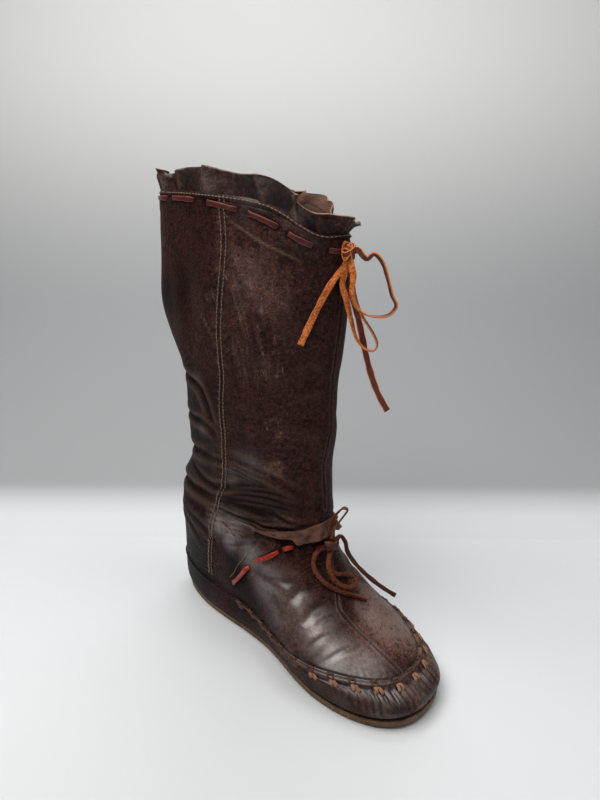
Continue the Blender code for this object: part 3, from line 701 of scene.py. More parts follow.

# %% [markdown]
# ## Where the hide is worn, and where shade is painted
# Dye rubs off where the boot bends and bumps: on the ridges of the folds, over the toe, along the seams and
# in pale scuffed patches. Each patch has a centre on the hide, a reach in millimetres and a strength: above
# 0 it is wear, below 0 it is painted shade and painted shadow, mostly over the heel, the back of the shaft
# and the ankle. Worn and shaded patches add up, and of wax and scuffs the strongest counts. The shader
# reads each as a number at every point.

# %% Worn and dark patches
WEAR_AND_SHADE_PATCHES = (
    # u, v, reach in mm, amount: above 0 is worn, below 0 is painted shade
    (0.36, 4.2, 26, 0.5), (0.34, 5.3, 24, 0.55), (0.31, 6.4, 22, 0.5), (0.29, 7.3, 16, 0.3),
    (0.42, 3.8, 20, 0.35), (0.57, 4.2, 26, 1.3), (0.6, 5, 24, 1), (0.45, 4, 18, 0.4),
    (0.26, 17.7, 14, 0.5), (0.36, 17.6, 16, 0.5), (0.5, 2.2, 18, 0.5), (0.44, 2.1, 14, 0.4),
    (0.56, 2, 18, 0.4), (0.235, 7.9, 13, 1), (0.275, 8.05, 12, 1), (0.25, 7.2, 10, 0.7),
    (0.506, 4.95, 16, 0.8), (0.55, 3.6, 16, 0.6), (0.32, 10.7, 16, 0.5), (0.36, 10.9, 9, 0.7),
    (0.34, 12.4, 20, 0.25), (0.37, 12, 14, 0.3), (0.33, 13.6, 24, -0.1), (0.3, 16.2, 26, 0.5),
    (0.34, 15.6, 24, 0.4), (0.27, 15, 20, 0.3), (0.72, 5, 26, 0.4), (0.66, 6.2, 26, 0.4),
    (0.7, 11, 24, 0.4), (0.64, 14.5, 30, 0.4), (0.8, 15.5, 30, 0.3), (0.9, 12, 24, 0.3),
    (0.03, 6, 20, 0.4), (0.97, 13, 26, 0.3), (0.46, 12.5, 26, -0.1), (0.48, 15, 26, -0.1),
    (0.45, 10.2, 20, -0.3), (0.22, 13, 20, -0.6), (0.12, 12, 30, -0.6), (0.15, 9.6, 22, -0.7),
    (0.25, 5.6, 20, -0.7), (0.23, 6.6, 12, -0.6), (0.27, 4.2, 26, -0.6), (0.47, 6.4, 18, -0.4),
    (0.3, 9.6, 24, -0.9), (0.36, 9.4, 20, -0.5), (0.28, 11.6, 18, -0.4), (0.25, 9, 14, -0.6),
    (0.12, 7, 22, -0.6), (0.14, 5.5, 24, -1), (0.13, 3.6, 30, -1), (0.08, 1.5, 36, -0.9),
    (0.22, 2, 30, -0.6), (0.14, 9.6, 26, -0.8), (0.13, 15.4, 26, -0.8), (0.1, 13.4, 24, -0.8),
    (0.09, 11, 24, -0.8), (0.28, 9.4, 20, -0.7), (0.18, 11, 18, -0.6), (0.33, 1.2, 24, -0.3),
    (0.2, 16, 26, -0.4), (0.2, 7.9, 6, -0.6), (0.3, 9.4, 20, -0.5), (0.35, 1.2, 30, -0.4),
    (0.5, 0.4, 30, -0.5),
)
SHINES = (
    # u, v, reach in mm, amount of wax
    (0.3, 6.9, 14, 0.8), (0.32, 6, 16, 1), (0.335, 5.2, 17, 1), (0.352, 4.4, 18, 1), (0.38, 3.7, 16, 0.9),
    (0.42, 3.5, 18, 0.7), (0.56, 4.3, 18, 0.7), (0.6, 5, 18, 0.7), (0.53, 5.6, 14, 0.6),
    (0.235, 7.9, 11, 1), (0.275, 8.05, 11, 1), (0.25, 7, 9, 0.8), (0.235, 8.15, 10, 0.9),
    (0.26, 8.3, 8, 0.6), (0.5, 1.9, 16, 0.55), (0.44, 2.1, 15, 0.65), (0.56, 1.8, 16, 0.5),
    (0.38, 2, 12, 0.3), (0.3, 16, 24, 0.2), (0.3, 10.8, 14, 0.35), (0.26, 10.3, 10, 0.35),
    (0.17, 13.6, 8, 0.3), (0.18, 11.6, 8, 0.3), (0.72, 8, 20, 0.6), (0.7, 5.5, 24, 0.6),
    (0.64, 12, 24, 0.3), (0.95, 6, 16, 0.5), (0, 9.5, 14, 0.4), (0.3, 17.6, 12, 0.4),
    (0.4, 17.5, 12, 0.3),
)
SCUFFS = (
    # u, v, reach in mm, amount
    (0.285, 15.7, 26, 1), (0.3, 14.8, 24, 0.8), (0.34, 14.3, 20, 0.5), (0.33, 16.2, 20, 0.4),
    (0.34, 12.2, 16, 0.6), (0.56, 4.4, 26, 1), (0.36, 4, 20, 0.25), (0.31, 10.6, 14, 0.4),
    (0.72, 14, 30, 0.6), (0.7, 5, 22, 0.4), (0.92, 13, 26, 0.4), (0.2, 14.5, 12, 0.3),
    (0.63, 15.5, 26, 0.4),
)


def spread(table, start, join):
    """Round patches over the hide, joined into one number at each point."""
    total = np.full(U.shape, start)
    for u, v, reach, amount in table:
        centre = bare(np.array([u]), np.array([v]))[0]
        total = join(total, amount * bell(np.linalg.norm(outer - centre, axis=-1), reach * MM))
    return total


# wear above 0 and painted shade below 0, added up at each point
wear_and_shade = spread(WEAR_AND_SHADE_PATCHES, 0.0, np.add)
shine = spread(SHINES, 0.04, np.maximum)
scuff = spread(SCUFFS, 0.0, np.maximum)
print("worn from", round(float(wear_and_shade.min()), 2), "to", round(float(wear_and_shade.max()), 2))

# %% [markdown]
# ## Finishes of the hide
# The hide is a dark oxblood brown with a waxed face. Its pores are small cells, its age shows as fine
# wrinkles and hairline scratches, and the wax has gone dull in some places and stays bright in others. Its
# colour also carries painted shade in creases, grooves, slots and shaded patches, and painted highlight on
# ridges and in pale grain flecks. It is built from noise in the boot's own space and from the numbers
# painted on the mesh, so it stays put from any side.

# %% Oxblood calf
def calf(name):
    """Dark waxed leather that reads the numbers painted on its mesh: wear, scratches, wax, and painted
    shade and highlight.
    """
    f = Finish(name)
    cloud = f.noise(0.055, 3, 0.6)
    mottle = f.noise(0.009, 5, 0.65)
    speck = f.noise(0.0016, 3, 0.7)
    streak = f.noise(0.010, 4, 0.6, stretch=(1.0, 1.0, 0.22))
    grain = f.cells(0.00085)
    wrinkle = f.noise(0.0035, 5, 0.65, stretch=(1.0, 1.0, 2.6))
    hair = f.noise(0.0085, 3, 0.5, stretch=(1.0, 1.0, 0.10), turn=-0.3) - 0.5
    hair = f.place.sum("ABSOLUTE", hair, 0.0)
    scratch = 1 - hair.rise(0.003, 0.016)
    fork = f.place.sum("ABSOLUTE", f.noise(0.013, 3, 0.5, stretch=(1.0, 1.0, 0.3), turn=0.9) - 0.5, 0.0)
    scratch = scratch + (1 - fork.rise(0.002, 0.010)) * 0.6
    scratch = scratch * mottle.rise(0.48, 0.62)
    wear_and_shade_mark = f.painted("wear_and_shade")
    crease = f.painted("painted_shade")
    lip = f.painted("pale_wear_and_highlight")
    recess_and_shade = f.painted("recess_and_shade")
    scratch = scratch * f.painted("scuff")
    wax = f.painted("wax")
    rubbed = (wear_and_shade_mark * 0.9 + (cloud - 0.5) * 1.1 + (mottle - 0.5) * 0.9).rise(0.12, 0.75)
    # deep: darker in random clouds, and painted shade where the patches are below 0
    deep = (wear_and_shade_mark * -1.0 + (0.5 - cloud) * 0.9 + (0.5 - mottle) * 0.5).rise(0.1, 0.8)
    pebble = f.cells(0.0017)
    patchy = f.noise(0.0034, 4, 0.7)
    colour = streak.rise(0.3, 0.7).blend((0.017, 0.0056, 0.0050), (0.037, 0.0122, 0.0102))
    colour = (patchy.rise(0.42, 0.66) * 0.6).blend(colour, (0.066, 0.0230, 0.0185))
    colour = deep.blend(colour, (0.0085, 0.0032, 0.0030))
    colour = (rubbed * 0.75).blend(colour, (0.118, 0.054, 0.042))
    bare_spots = (wear_and_shade_mark * 0.8 + mottle * 0.5 + patchy * 0.5).rise(1.05, 1.75) * 0.55
    colour = bare_spots.blend(colour, (0.215, 0.135, 0.108))
    colour = (patchy.rise(0.50, 0.36) * 0.7).blend(colour, (0.009, 0.0035, 0.0028))
    # pale flecks: part wear and part painted glints of the grain
    wear_flecks_and_glints = speck.rise(0.55, 0.64) * (0.20 + rubbed * 0.80)
    colour = (wear_flecks_and_glints * (0.62 - deep * 0.35)).blend(colour, (0.25, 0.145, 0.112))
    colour = (scratch * 0.9).blend(colour, (0.28, 0.19, 0.155))
    # pale lips and ridges, part wear and part painted highlight, and the real hairline scratches
    colour = (lip * (0.32 + mottle * 0.55)).blend(colour, (0.165, 0.100, 0.078))
    # painted shade: creases, grooves, puckers, the rims of the bars and the line under the flap
    colour = (crease * 0.8).blend(colour, (0.006, 0.0028, 0.0025))
    # painted shade in the slots and at the frill's foot
    colour = (recess_and_shade * 0.9).blend(colour, (0.003, 0.0015, 0.0015))
    rough = 0.44 + (mottle - 0.5) * 0.34 + wear_flecks_and_glints * 0.15 + crease * 0.25 - rubbed * 0.06 + deep * 0.02
    height = pebble * 0.8 + grain * 0.3 + wrinkle * 0.8 + patchy * 0.7 - scratch * 0.3
    fine = f.bump(height, 0.0014, 0.9)
    soft = f.bump(f.noise(0.016, 3, 0.6, stretch=(1.0, 1.0, 1.6)), 0.004, 0.28, fine)
    f.set(Base_Color=colour, Roughness=rough, Normal=soft, Coat_Weight=wax * (0.55 + patchy * 0.9),
          Coat_Roughness=0.37, Coat_IOR=2.05, Specular_IOR_Level=0.03)
    return f.material


def suede(name, low, high, edge=None):
    """Brushed leather: no shine, short fibres, lighter where it is rubbed."""
    f = Finish(name)
    cloud = f.noise(0.008, 4, 0.6)
    nap = f.noise(0.0011, 5, 0.75)
    colour = (cloud * 0.6 + nap * 0.5).rise(0.36, 0.72).blend(low, high)
    if edge:
        colour = f.painted("edge").blend(colour, edge)
    f.set(Base_Color=colour, Roughness=0.82 + (nap - 0.5) * 0.2, Sheen_Weight=0.03, Sheen_Roughness=0.5,
          Normal=f.bump(nap * 0.7 + cloud * 0.3, 0.0006, 0.7))
    return f.material


leather_finish = calf("oxblood_calf")
frill_finish = calf("frill_calf")
lining_finish = suede("brown_lining", (0.030, 0.014, 0.009), (0.085, 0.042, 0.024))
flap_finish = suede("flap_suede", (0.020, 0.007, 0.0045), (0.120, 0.042, 0.025), (0.15, 0.062, 0.036))
print("finishes:", leather_finish.name, lining_finish.name)

# %% [markdown]
# ## Putting the hide together
# Outer net, rolled edge and inner net become one object, so nothing can come apart at the collar.

# %% The upper
inner_levels = np.append(steps((18, 15, 13), (15, 8, 15), (8, 0, 12)), 0)
UI, VI = np.meshgrid(columns % 1, inner_levels)
inner_plain = bare(UI, VI)
inner_moved = relief(UI, VI, inner_plain)[0]
slack = np.clip((17.5 - VI) / 3, 0, 1) * 0.8 * MM
inner_moved = np.minimum(inner_moved, 0.5 * MM) * 0.9 - leather - slack
inner = inner_plain + inner_moved[..., None] * outward(UI, VI)
roll = (outer[-1] + inner[0]) / 2 + np.array([0, 0, 0.5 * MM])
stack = np.concatenate([outer.reshape(-1, 3), roll, inner.reshape(-1, 3)])
wide = len(columns)
outer_rows, inner_rows = len(levels), len(inner_levels)
faces = net(outer_rows + 1 + inner_rows, wide)
inside = np.zeros(len(faces), int)
inside[(outer_rows + 1) * wide:] = 1


def with_inside(values):
    """Numbers of the outer points, with 0 for the points inside."""
    return np.concatenate([values.ravel(), np.zeros((inner_rows + 1) * wide)])


upper = mesh_piece("upper_hide", stack, faces, [leather_finish, lining_finish], inside, {
    "wear_and_shade": with_inside(wear_and_shade), "painted_shade": with_inside(painted_shade), "pale_wear_and_highlight": with_inside(pale_wear_and_highlight),
    "recess_and_shade": with_inside(dark), "scuff": with_inside(scuff), "wax": with_inside(shine),
})
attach(upper, "root")
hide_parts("upper")
print("upper_hide faces:", len(faces))

# %% [markdown]
# ## The gathered frill
# A strip of the same calf, longer than the collar, is gathered along its lower edge, so that its free
# edge stands in uneven waves: smooth side out, rough side in, and a pale cut edge. The waves follow
# the solid's own, with smaller ones added, and the strip stands inside the collar's rolled edge.

# %% The frill
COLLAR_FRILL = np.array((
    # u all round, height, flare
    (0.00, 0.66, 0.30), (0.12, 0.74, 0.34), (0.22, 0.92, 0.40), (0.30, 1.00, 0.45), (0.36, 0.92, 0.60),
    (0.42, 0.72, 0.90), (0.50, 0.48, 1.00), (0.58, 0.38, 0.90), (0.64, 0.36, 0.60), (0.74, 0.46, 0.45),
    (0.86, 0.58, 0.34), (1.00, 0.66, 0.30),
))
frill_height, frill_flare, frill_wave, frill_folds = 17 * MM, 7 * MM, 2.6 * MM, 17
frill_leather = 1.4 * MM
frill_count = 840
frill_u = np.arange(frill_count) / frill_count
frill_t = np.concatenate([[-0.12], np.linspace(0, 1, 13)])
FU, FT = np.meshgrid(frill_u, frill_t)
turn = 2 * np.pi * FU
broad = 9 * turn + 1.2 * np.sin(2 * turn) + 0.8 * np.sin(5 * turn + 1)
phase = frill_folds * turn + 1.6 * np.sin(2 * turn) + 1.1 * np.sin(5 * turn + 1)
size = 0.8 + 0.2 * np.sin(3 * turn + 0.5)
T = np.maximum(FT, 0)
wave = 0.7 * np.sin(broad + 0.7 * np.sin(broad)) + 0.7 * np.sin(phase + 0.8 * np.sin(phase))
wave += 0.07 * np.sin(41 * turn + 3 * np.sin(4 * turn)) * T
frill_out = T ** 1.5 * frill_flare * through(COLLAR_FRILL[:, 0], COLLAR_FRILL[:, 2], FU)
far_front = hump(FU, 0.50, 0.80, 0.06)
wave += far_front * 0.35 * T * np.sin(2 * phase + 1)
wave *= 1 - 0.55 * hump(FU, 0.42, 0.56, 0.06) - 0.45 * (hump(FU, -1, 0.05, 0.06) + hump(FU, 0.95, 2, 0.06))
frill_out += (0.30 + 0.70 * T) * size * 2.4 * frill_wave * wave * (FT >= 0)
frill_out += np.maximum(T - 0.75, 0) * 5 * MM * np.sin(0.5 * broad + 2.2 * np.sin(turn * 3))
uneven = 0.12 * np.sin(broad + 1.2) + 0.06 * np.sin(phase) + 0.05 * far_front * np.sin(2 * phase)
frill_rise = frill_height * through(COLLAR_FRILL[:, 0], COLLAR_FRILL[:, 1], FU) * (1.06 + uneven)
gathered = np.concatenate([wave, wave[::-1]])
height_share = np.concatenate([T, T[::-1]])
FU = (FU + (0.013 * np.cos(broad) + 0.004 * np.cos(phase)) * T) % 1
rim_point = bare(FU, COLLAR_ROW)
flat_way = outward(FU, COLLAR_ROW)
flat_way[..., 2] = 0
flat_way = unit(flat_way)
front_face = rim_point + (frill_out - 0.25 * leather)[..., None] * flat_way
front_face[..., 2] += np.where(FT < 0, -2.5 * MM, 0.2 * MM + T * frill_rise)
along_way = np.roll(front_face, -1, 1) - np.roll(front_face, 1, 1)
up_way = np.gradient(front_face, axis=0)
back_face = front_face - frill_leather * 0.85 * unit(np.cross(along_way, up_way))
frill_rows = len(frill_t)
frill_points = np.concatenate([front_face.reshape(-1, 3), back_face[::-1].reshape(-1, 3)])
frill_faces = net(2 * frill_rows, frill_count)
frill_kinds = np.repeat([0] * (frill_rows - 1) + [2] + [1] * (frill_rows - 1), frill_count)
edge_finish = suede("cut_edge", (0.17, 0.085, 0.045), (0.36, 0.21, 0.125))
frill_lining = suede("frill_flesh", (0.046, 0.016, 0.008), (0.115, 0.046, 0.023))
frill_materials = [frill_finish, frill_lining, edge_finish]
# The frill's marks: painted shade in its valleys and at its foot under the collar's rim, and paler ridges
# and free edge, part wear and part painted highlight.
frill = mesh_piece("gathered_frill", frill_points, frill_faces, frill_materials, frill_kinds, {
    "wear_and_shade": 0.22 + 0.6 * gathered, "painted_shade": np.clip(-1.4 * gathered - 0.2, 0, 1) * (1.3 - height_share),
    "pale_wear_and_highlight": np.clip(gathered - 0.8, 0, 1) * 0.5 + 0.6 * np.maximum(height_share - 0.8, 0),
    "recess_and_shade": np.clip(0.12 - height_share, 0, 1) * 5, "scuff": np.full(gathered.shape, 0.35),
    "wax": 0.34 - 0.26 * hump(np.concatenate([FU, FU[::-1]]), 0.40, 0.60, 0.06),
})
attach(frill, "root")
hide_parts("collar_frill")
print("frill faces:", len(frill_faces))

# %% [markdown]
# ## The folded flap
# Over the ankle's drawstring hangs a narrow tongue of suede, folded down from inside, with a wavy
# cut edge. It is a strip between two rows of the hide, lifted along its lower edge.

# %% The flap
flap_count, flap_rows, flap_leather = 260, 9, 1.4 * MM
fu = np.linspace(FLAP[0, 0], 1 - FLAP[0, 0], flap_count)
share = np.minimum(fu, 1 - fu)
low = through(FLAP[:, 0], FLAP[:, 1], share) + 0.028 * np.sin(2 * np.pi * 21 * fu + 2 * np.sin(60 * fu))
high = through(FLAP[:, 0], FLAP[:, 2], share)
t = np.linspace(0, 1, flap_rows)[:, None]
flap_v = low + t * (high - low)
flap_u = np.broadcast_to(fu, flap_v.shape)
lift = 3.0 * MM + 2.1 * MM * np.sin(2 * np.pi * 17 * fu + 2 * np.sin(31 * fu))
lift += 0.8 * MM * np.sin(2 * np.pi * 37 * fu + 1)
lumps = 0.8 * MM * np.sin(2 * np.pi * 23 * fu + 4 * t) * np.sin(3 * t + 40 * fu)
lumps += 0.5 * MM * np.sin(170 * fu - 6 * t)
rise = 0.6 * MM + (1 - t) * lift + lumps * np.sin(np.pi * t)
flap_plain, flap_away = bare(flap_u, flap_v), outward(flap_u, flap_v)
top = flap_plain + (rise + flap_leather)[..., None] * flap_away
under = flap_plain + rise[..., None] * flap_away
flap_points = np.concatenate([top.reshape(-1, 3), under.reshape(-1, 3)])
size_one = flap_rows * flap_count
flap_faces = [*net(flap_rows, flap_count, False), *(net(flap_rows, flap_count, False, size_one)[:, ::-1])]
rim = [*range(flap_count), *[r * flap_count - 1 for r in range(2, flap_rows + 1)]]
rim += range(size_one - 2, size_one - flap_count - 1, -1)
rim += [r * flap_count for r in range(flap_rows - 2, 0, -1)]
for a, b in zip(rim, rim[1:] + rim[:1]):
    flap_faces.append((b, a, size_one + a, size_one + b))
edge_mark = np.broadcast_to(np.exp(-t * 14) * 0.8, flap_v.shape).ravel()
flap = mesh_piece("folded_flap", flap_points, flap_faces, [flap_finish], None,
                  {"edge": np.concatenate([edge_mark, edge_mark])})
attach(flap, "root")
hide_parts("ankle_flap")
print("flap faces:", len(flap_faces))

# %% [markdown]
# ## Laces
# A lace is a flat strip cut from one hide: red-brown and slightly shiny on the smooth side, orange
# and rough on the flesh side. One function sweeps a rounded flat section along a line of points and
# turns it to a given way out at each, and marks which side is which, so that one material can show
# both.

# %% Strips of lace
def lace(name, base, glow, flesh_low, flesh_high, dullness):
    """Dark and light of the smooth side and of the flesh side, and the smooth side's roughness."""
    f = Finish(name)
    cloud = f.noise(0.006, 4, 0.6)
    nap = f.noise(0.0014, 4, 0.75)
    rough_side = f.painted("flesh").rise(0.35, 0.65)
    edge = f.painted("edge")
    smooth = (cloud * 0.8 + nap * 0.3).rise(0.35, 0.75).blend(base, glow)
    fuzzy = (cloud * 0.35 + nap * 0.75).rise(0.42, 0.70).blend(flesh_low, flesh_high)
    colour = (edge * 0.75).blend(smooth, flesh_high)
    colour = rough_side.blend(colour, fuzzy)
    rough = (1 - rough_side) * dullness + rough_side * 0.9 + (nap - 0.5) * 0.2
    f.set(Base_Color=colour, Roughness=rough, Specular_IOR_Level=0.3,
          Normal=f.bump(nap * (0.4 + rough_side * 0.9) + cloud * 0.3, 0.0008, 0.8))
    return f.material


SECTION = np.array([
    (-0.5, 0.0), (-0.46, 0.34), (-0.36, 0.5), (0.0, 0.5), (0.36, 0.5), (0.46, 0.34), (0.5, 0.0),
    (0.46, -0.34), (0.36, -0.5), (0.0, -0.5), (-0.36, -0.5), (-0.46, -0.34),
])


def strip(points, ways, wide, thick, closed=False, start=0):
    """Points, faces and marks of a flat strip: ways give its face's way out at each point."""
    points = np.asarray(points, float)
    along = unit(np.roll(points, -1, 0) - np.roll(points, 1, 0) if closed else np.gradient(points, axis=0))
    across = unit(np.cross(along, ways))
    out = np.cross(across, along)
    k = np.arange(len(points))
    wide_here = wide * (1 + 0.06 * np.sin(k * 0.9) + 0.05 * np.sin(k * 0.37 + 1))
    ring = (points[:, None] + SECTION[None, :, 0, None] * wide_here[:, None, None] * across[:, None]
            + SECTION[None, :, 1, None] * thick * out[:, None])
    flesh = np.tile((SECTION[:, 1] < -0.1).astype(float), len(points))
    edge = np.tile((np.abs(SECTION[:, 0]) > 0.45).astype(float), len(points))
    count = len(SECTION)
    faces = [tuple(f) for f in net(len(points), count, True, start)]
    first = [start + j for j in range(count)]
    last = [j + (len(points) - 1) * count for j in first]
    if closed:
        faces += [(last[j], last[(j + 1) % count], first[(j + 1) % count], first[j]) for j in range(count)]
    else:
        faces += [tuple(reversed(first)), tuple(last)]
    return ring.reshape(-1, 3), faces, flesh, edge


def lace_piece(name, strips, finish, node):
    """One object from a list of strips."""
    parts, start = [], 0
    for line, ways, wide, thick, closed in strips:
        parts.append(strip(line, ways, wide, thick, closed, start))
        start += len(parts[-1][0])
    points, flesh, edge = (np.concatenate([part[k] for part in parts]) for k in (0, 2, 3))
    faces = [face for part in parts for face in part[1]]
    made = mesh_piece(name, points, faces, [finish], None, {"flesh": flesh, "edge": edge})
    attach(made, "root")
    if node:
        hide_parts(node)
    return made


drawstring_red = lace("drawstring_red", (0.050, 0.010, 0.008), (0.125, 0.023, 0.016), (0.12, 0.03, 0.014),
                      (0.30, 0.100, 0.060), 0.36)
drawstring_bright = lace("drawstring_bright", (0.20, 0.011, 0.006), (0.40, 0.036, 0.013),
                         (0.2, 0.03, 0.012), (0.30, 0.045, 0.020), 0.27)
bow_orange = lace("bow_orange", (0.075, 0.017, 0.012), (0.200, 0.048, 0.028), (0.36, 0.072, 0.014),
                  (0.95, 0.310, 0.080), 0.45)
bow_russet = lace("bow_russet", (0.040, 0.011, 0.008), (0.105, 0.028, 0.018), (0.060, 0.014, 0.008),
                  (0.21, 0.052, 0.022), 0.45)
print("lace finishes ready")

# %% [markdown]
# ## The drawstrings
# Each drawstring runs in and out of its slots. Outside it lies as a short bar over the hide, slightly
# bowed, and inside it runs along the lining. A number that steps from 1 to -1 at each slot, softened
# over a few millimetres, gives the strip its height over the hide.

# %% In and out of the slots
def drawstring(way, slots, closed, rise, inside):
    """The line of a drawstring and its way out at each point, round the whole boot."""
    last = 0.0 if closed else slots[-1] - 0.012
    half = np.linspace(0.5, last, 900)
    points = bare(half, on_way(way, half))
    run = run_along(points)
    stops = np.interp(-np.array(slots), -half, run)
    height = np.full(len(run), 1.0)
    for k, stop in enumerate(stops):
        step = np.clip((run - stop) / (4.2 * MM) + 0.5, 0, 1)
        step = step * step * (3 - 2 * step)
        height += (-2 if k % 2 == 0 else 2) * step
    bounds = np.concatenate([[-stops[0]], stops])
    bow = np.zeros(len(run))
    for a, b in zip(bounds[0::2], bounds[1::2]):
        t = np.clip((run - a) / (b - a), 0, 1)
        bow = np.maximum(bow, np.sin(np.pi * t))
    over = np.where(height > 0, height * (rise + 0.5 * MM * bow), height * inside)
    even = np.arange(0, run[-1], 1.6 * MM)
    u = np.interp(even, run, half)
    h = np.interp(even, run, over)
    if closed:
        u = np.concatenate([u, 1 - u[::-1]])
        h = np.concatenate([h, h[::-1]])
        keep = np.concatenate([[True], np.abs(np.diff(u)) > 1e-5])
        u, h = u[keep], h[keep]
    else:
        u = np.concatenate([1 - u[::-1], u[1:]])
        h = np.concatenate([h[::-1], h[1:]])
    v = on_way(way, u)
    ways = outward(u, v)
    return bare(u, v) + h[:, None] * ways, ways


string_wide, string_inside = 3.7 * MM, 3.0 * MM
line, ways = drawstring(COLLAR_WAY, COLLAR_SLOTS, True, 1.15 * MM, string_inside)
strips = [(line, ways, string_wide, 1.4 * MM, True)]
collar_string = lace_piece("collar_drawstring", strips, drawstring_red, "collar_lace")
line, ways = drawstring(ANKLE_WAY, ANKLE_SLOTS, False, 1.9 * MM, string_inside)
strips = [(line, ways, string_wide, 1.5 * MM, False)]
ankle_string = lace_piece("ankle_drawstring", strips, drawstring_bright, "ankle_lace")
print("drawstrings:", collar_string.name, ankle_string.name)

# %% [markdown]
# ## The moccasin thong
# The top of the foot is sewn to the wall with a thin thong. It shows as a dark cord lying in the
# seam, and at each stitch as a short bar above it and a second one below, with two strands down
# between them. Round the toe the lower bar gives way to a pair of short strands rubbed to tan.

# %% The thong
SEAM_WAY = ((0.20, 2.98), (0.32, 2.92), (0.42, 2.92), (0.50, 3.02))
thong_finish = lace("thong_dark", (0.030, 0.012, 0.008), (0.080, 0.036, 0.024),
                    (0.05, 0.022, 0.014), (0.16, 0.085, 0.052), 0.5)
thong_tan = lace("thong_tan", (0.15, 0.062, 0.034), (0.36, 0.185, 0.110),
                 (0.2, 0.1, 0.05), (0.45, 0.27, 0.16), 0.55)
half_run = np.arange(-182 * MM, 182 * MM, 1.5 * MM)
thong_u = np.interp(half_run, ring_run, ring_u)
thong_v = on_way(SEAM_WAY, thong_u)
ripple = 1.35 * MM + 0.25 * MM * np.cos(2 * np.pi * half_run / stitch_pitch)
stitch_half = 3.0 * MM


def laid(at, v, height, wide, thick):
    """A strip over the hide, from places along the seam, rows and heights."""
    u = np.interp(at, ring_run, ring_u)
    way = outward(u, v)
    return bare(u, v) + height[:, None] * way, way, wide * MM, thick * MM, False


dark_strips = [laid(half_run, thong_v, ripple, 1.2, 0.8)]
tan_strips = []
for at in np.arange(-176 * MM, 177 * MM, stitch_pitch):
    t = np.linspace(-1, 1, 9)
    for row, lift, length in ((3.11, 1.45, 0.8), (2.70, 1.35, 1.0)):
        if row > 3 or abs(at) >= toe_pull:
            height = (lift - 1.5 * np.abs(t) ** 4) * MM
            dark_strips.append(laid(at + t * stitch_half * length, np.full(9, row), height, 1.8, 1.1))
            continue
        for side in (-1, 1):
            height = (1.55 - 1.5 * np.abs(t) ** 4) * MM
            places = at + side * 1.5 * MM + 0.5 * MM * side * np.linspace(1, -1, 9)
            tan_strips.append(laid(places, np.linspace(2.50, 2.90, 9), height, 2.3, 1.1))
    for side in (-1, 1):
        v = np.linspace(2.73, 3.12, 11)
        height = (1.15 + 0.9 * bell(v - 3.0, 0.12)) * MM
        dark_strips.append(laid(np.full(11, at + side * stitch_half * 0.72), v, height, 1.3, 0.9))
thong = lace_piece("moccasin_thong", dark_strips, thong_finish, "moccasin_lace")
thong_bars = lace_piece("thong_bars", tan_strips, thong_tan, None)
print(thong.name, "strips:", len(dark_strips), thong_bars.name, "strips:", len(tan_strips))

# %% [markdown]
# ## The bows
# Both drawstrings end in a bow. Its knot is a short coil with a core and three bands round it, and
# its loops and ends hang by their own weight. The curves are the solids' own, from places counted
# from each knot. Along each one the strip turns slowly, so that both of its sides show in turn.

# %% Knots, loops and ends
bow_reach = 100 * MM
knot_out, knot_long, knot_pitch, knot_turns = 2.8 * MM, 6.4 * MM, 4.4 * MM, 1.5
lace_rise, lace_thick, cord_round, ribbon_thick = 1.3 * MM, 1.4 * MM, 2.6 * MM, 1.3 * MM
COLLAR_KNOT = (0.486, 17.28)
VAMP_KNOT = (0.500, 8.24)
COLLAR_BOW = (
    # name, far end, the way its face looks, turns at the start and the end in degrees,
    # then forward, outward and up of each place in thousandths of bow_reach
    ("collar_end_short", "bare", (0.5, -0.75, 0.4), 180, 165, (
        (-29, 7, -83), (-73, -96, -217), (-148, -190, -440), (-225, -252, -660),
    )),
    ("collar_loop_wide", "object", (0.6, -0.6, 0.5), 25, 150, (
        (70, 16, 15), (93, 34, -18), (121, 56, -45), (158, 85, -11), (204, 120, -64), (241, 149, -187),
        (268, 169, -298), (293, 189, -368), (256, 161, -433), (189, 109, -449), (116, 52, -429),
        (69, 16, -380), (44, -3, -289), (47, -2, -149),
    )),
    ("collar_loop_long", "object", (0.5, -0.75, 0.4), 150, 40, (
        (-11, -9, -124), (-32, -24, -222), (-7, -5, -328), (25, 19, -478), (57, 44, -609),
        (111, 86, -689), (163, 126, -702), (179, 139, -657), (154, 119, -577), (87, 67, -448),
        (41, 51, -336), (14, 30, -166),
    )),
    ("collar_end_long", "bare", (0.5, -0.75, 0.4), 20, -35, (
        (-16, 38, -232), (9, 57, -339), (35, 77, -439), (61, 97, -571), (89, 118, -719), (123, 144, -870),
        (172, 182, -1031), (234, 229, -1170),
    )),
)
VAMP_BOW = (
    ("vamp_loop_up", "object", (0.5, -0.6, 0.6), 40, 160, (
        (12, 10, 137), (41, 33, 199), (76, 61, 269), (91, 72, 304), (69, 55, 320), (18, 60, 275),
        (-18, 31, 205), (-28, 23, 118),
    )),
    ("vamp_loop_low", "object", (0.5, -0.6, 0.6), 190, 60, (
        (13, -40, -50), (42, -93, -114), (84, -106, -188), (138, -63, -266), (171, 9, -311),
        (166, 119, -331), (110, 172, -323), (89, 71, -260), (63, -27, -219), (22, -44, -148),
        (0, -13, -106),
    )),
    ("vamp_end_near", "bare", (0.5, -0.6, 0.6), 160, 200, (
        (-45, -104, -25), (-48, -153, -55), (-31, -184, -120), (18, -178, -194), (79, -142, -261),
        (142, -56, -331), (204, 37, -388), (274, 118, -437),
    )),
    ("vamp_end_far", "bare", (0.5, -0.4, 0.75), 30, -10, (
        (50, 40, 79), (71, 79, 18), (69, 111, -76), (89, 170, -183), (155, 221, -280), (240, 288, -375),
        (306, 340, -436), (365, 387, -483),
    )),
)


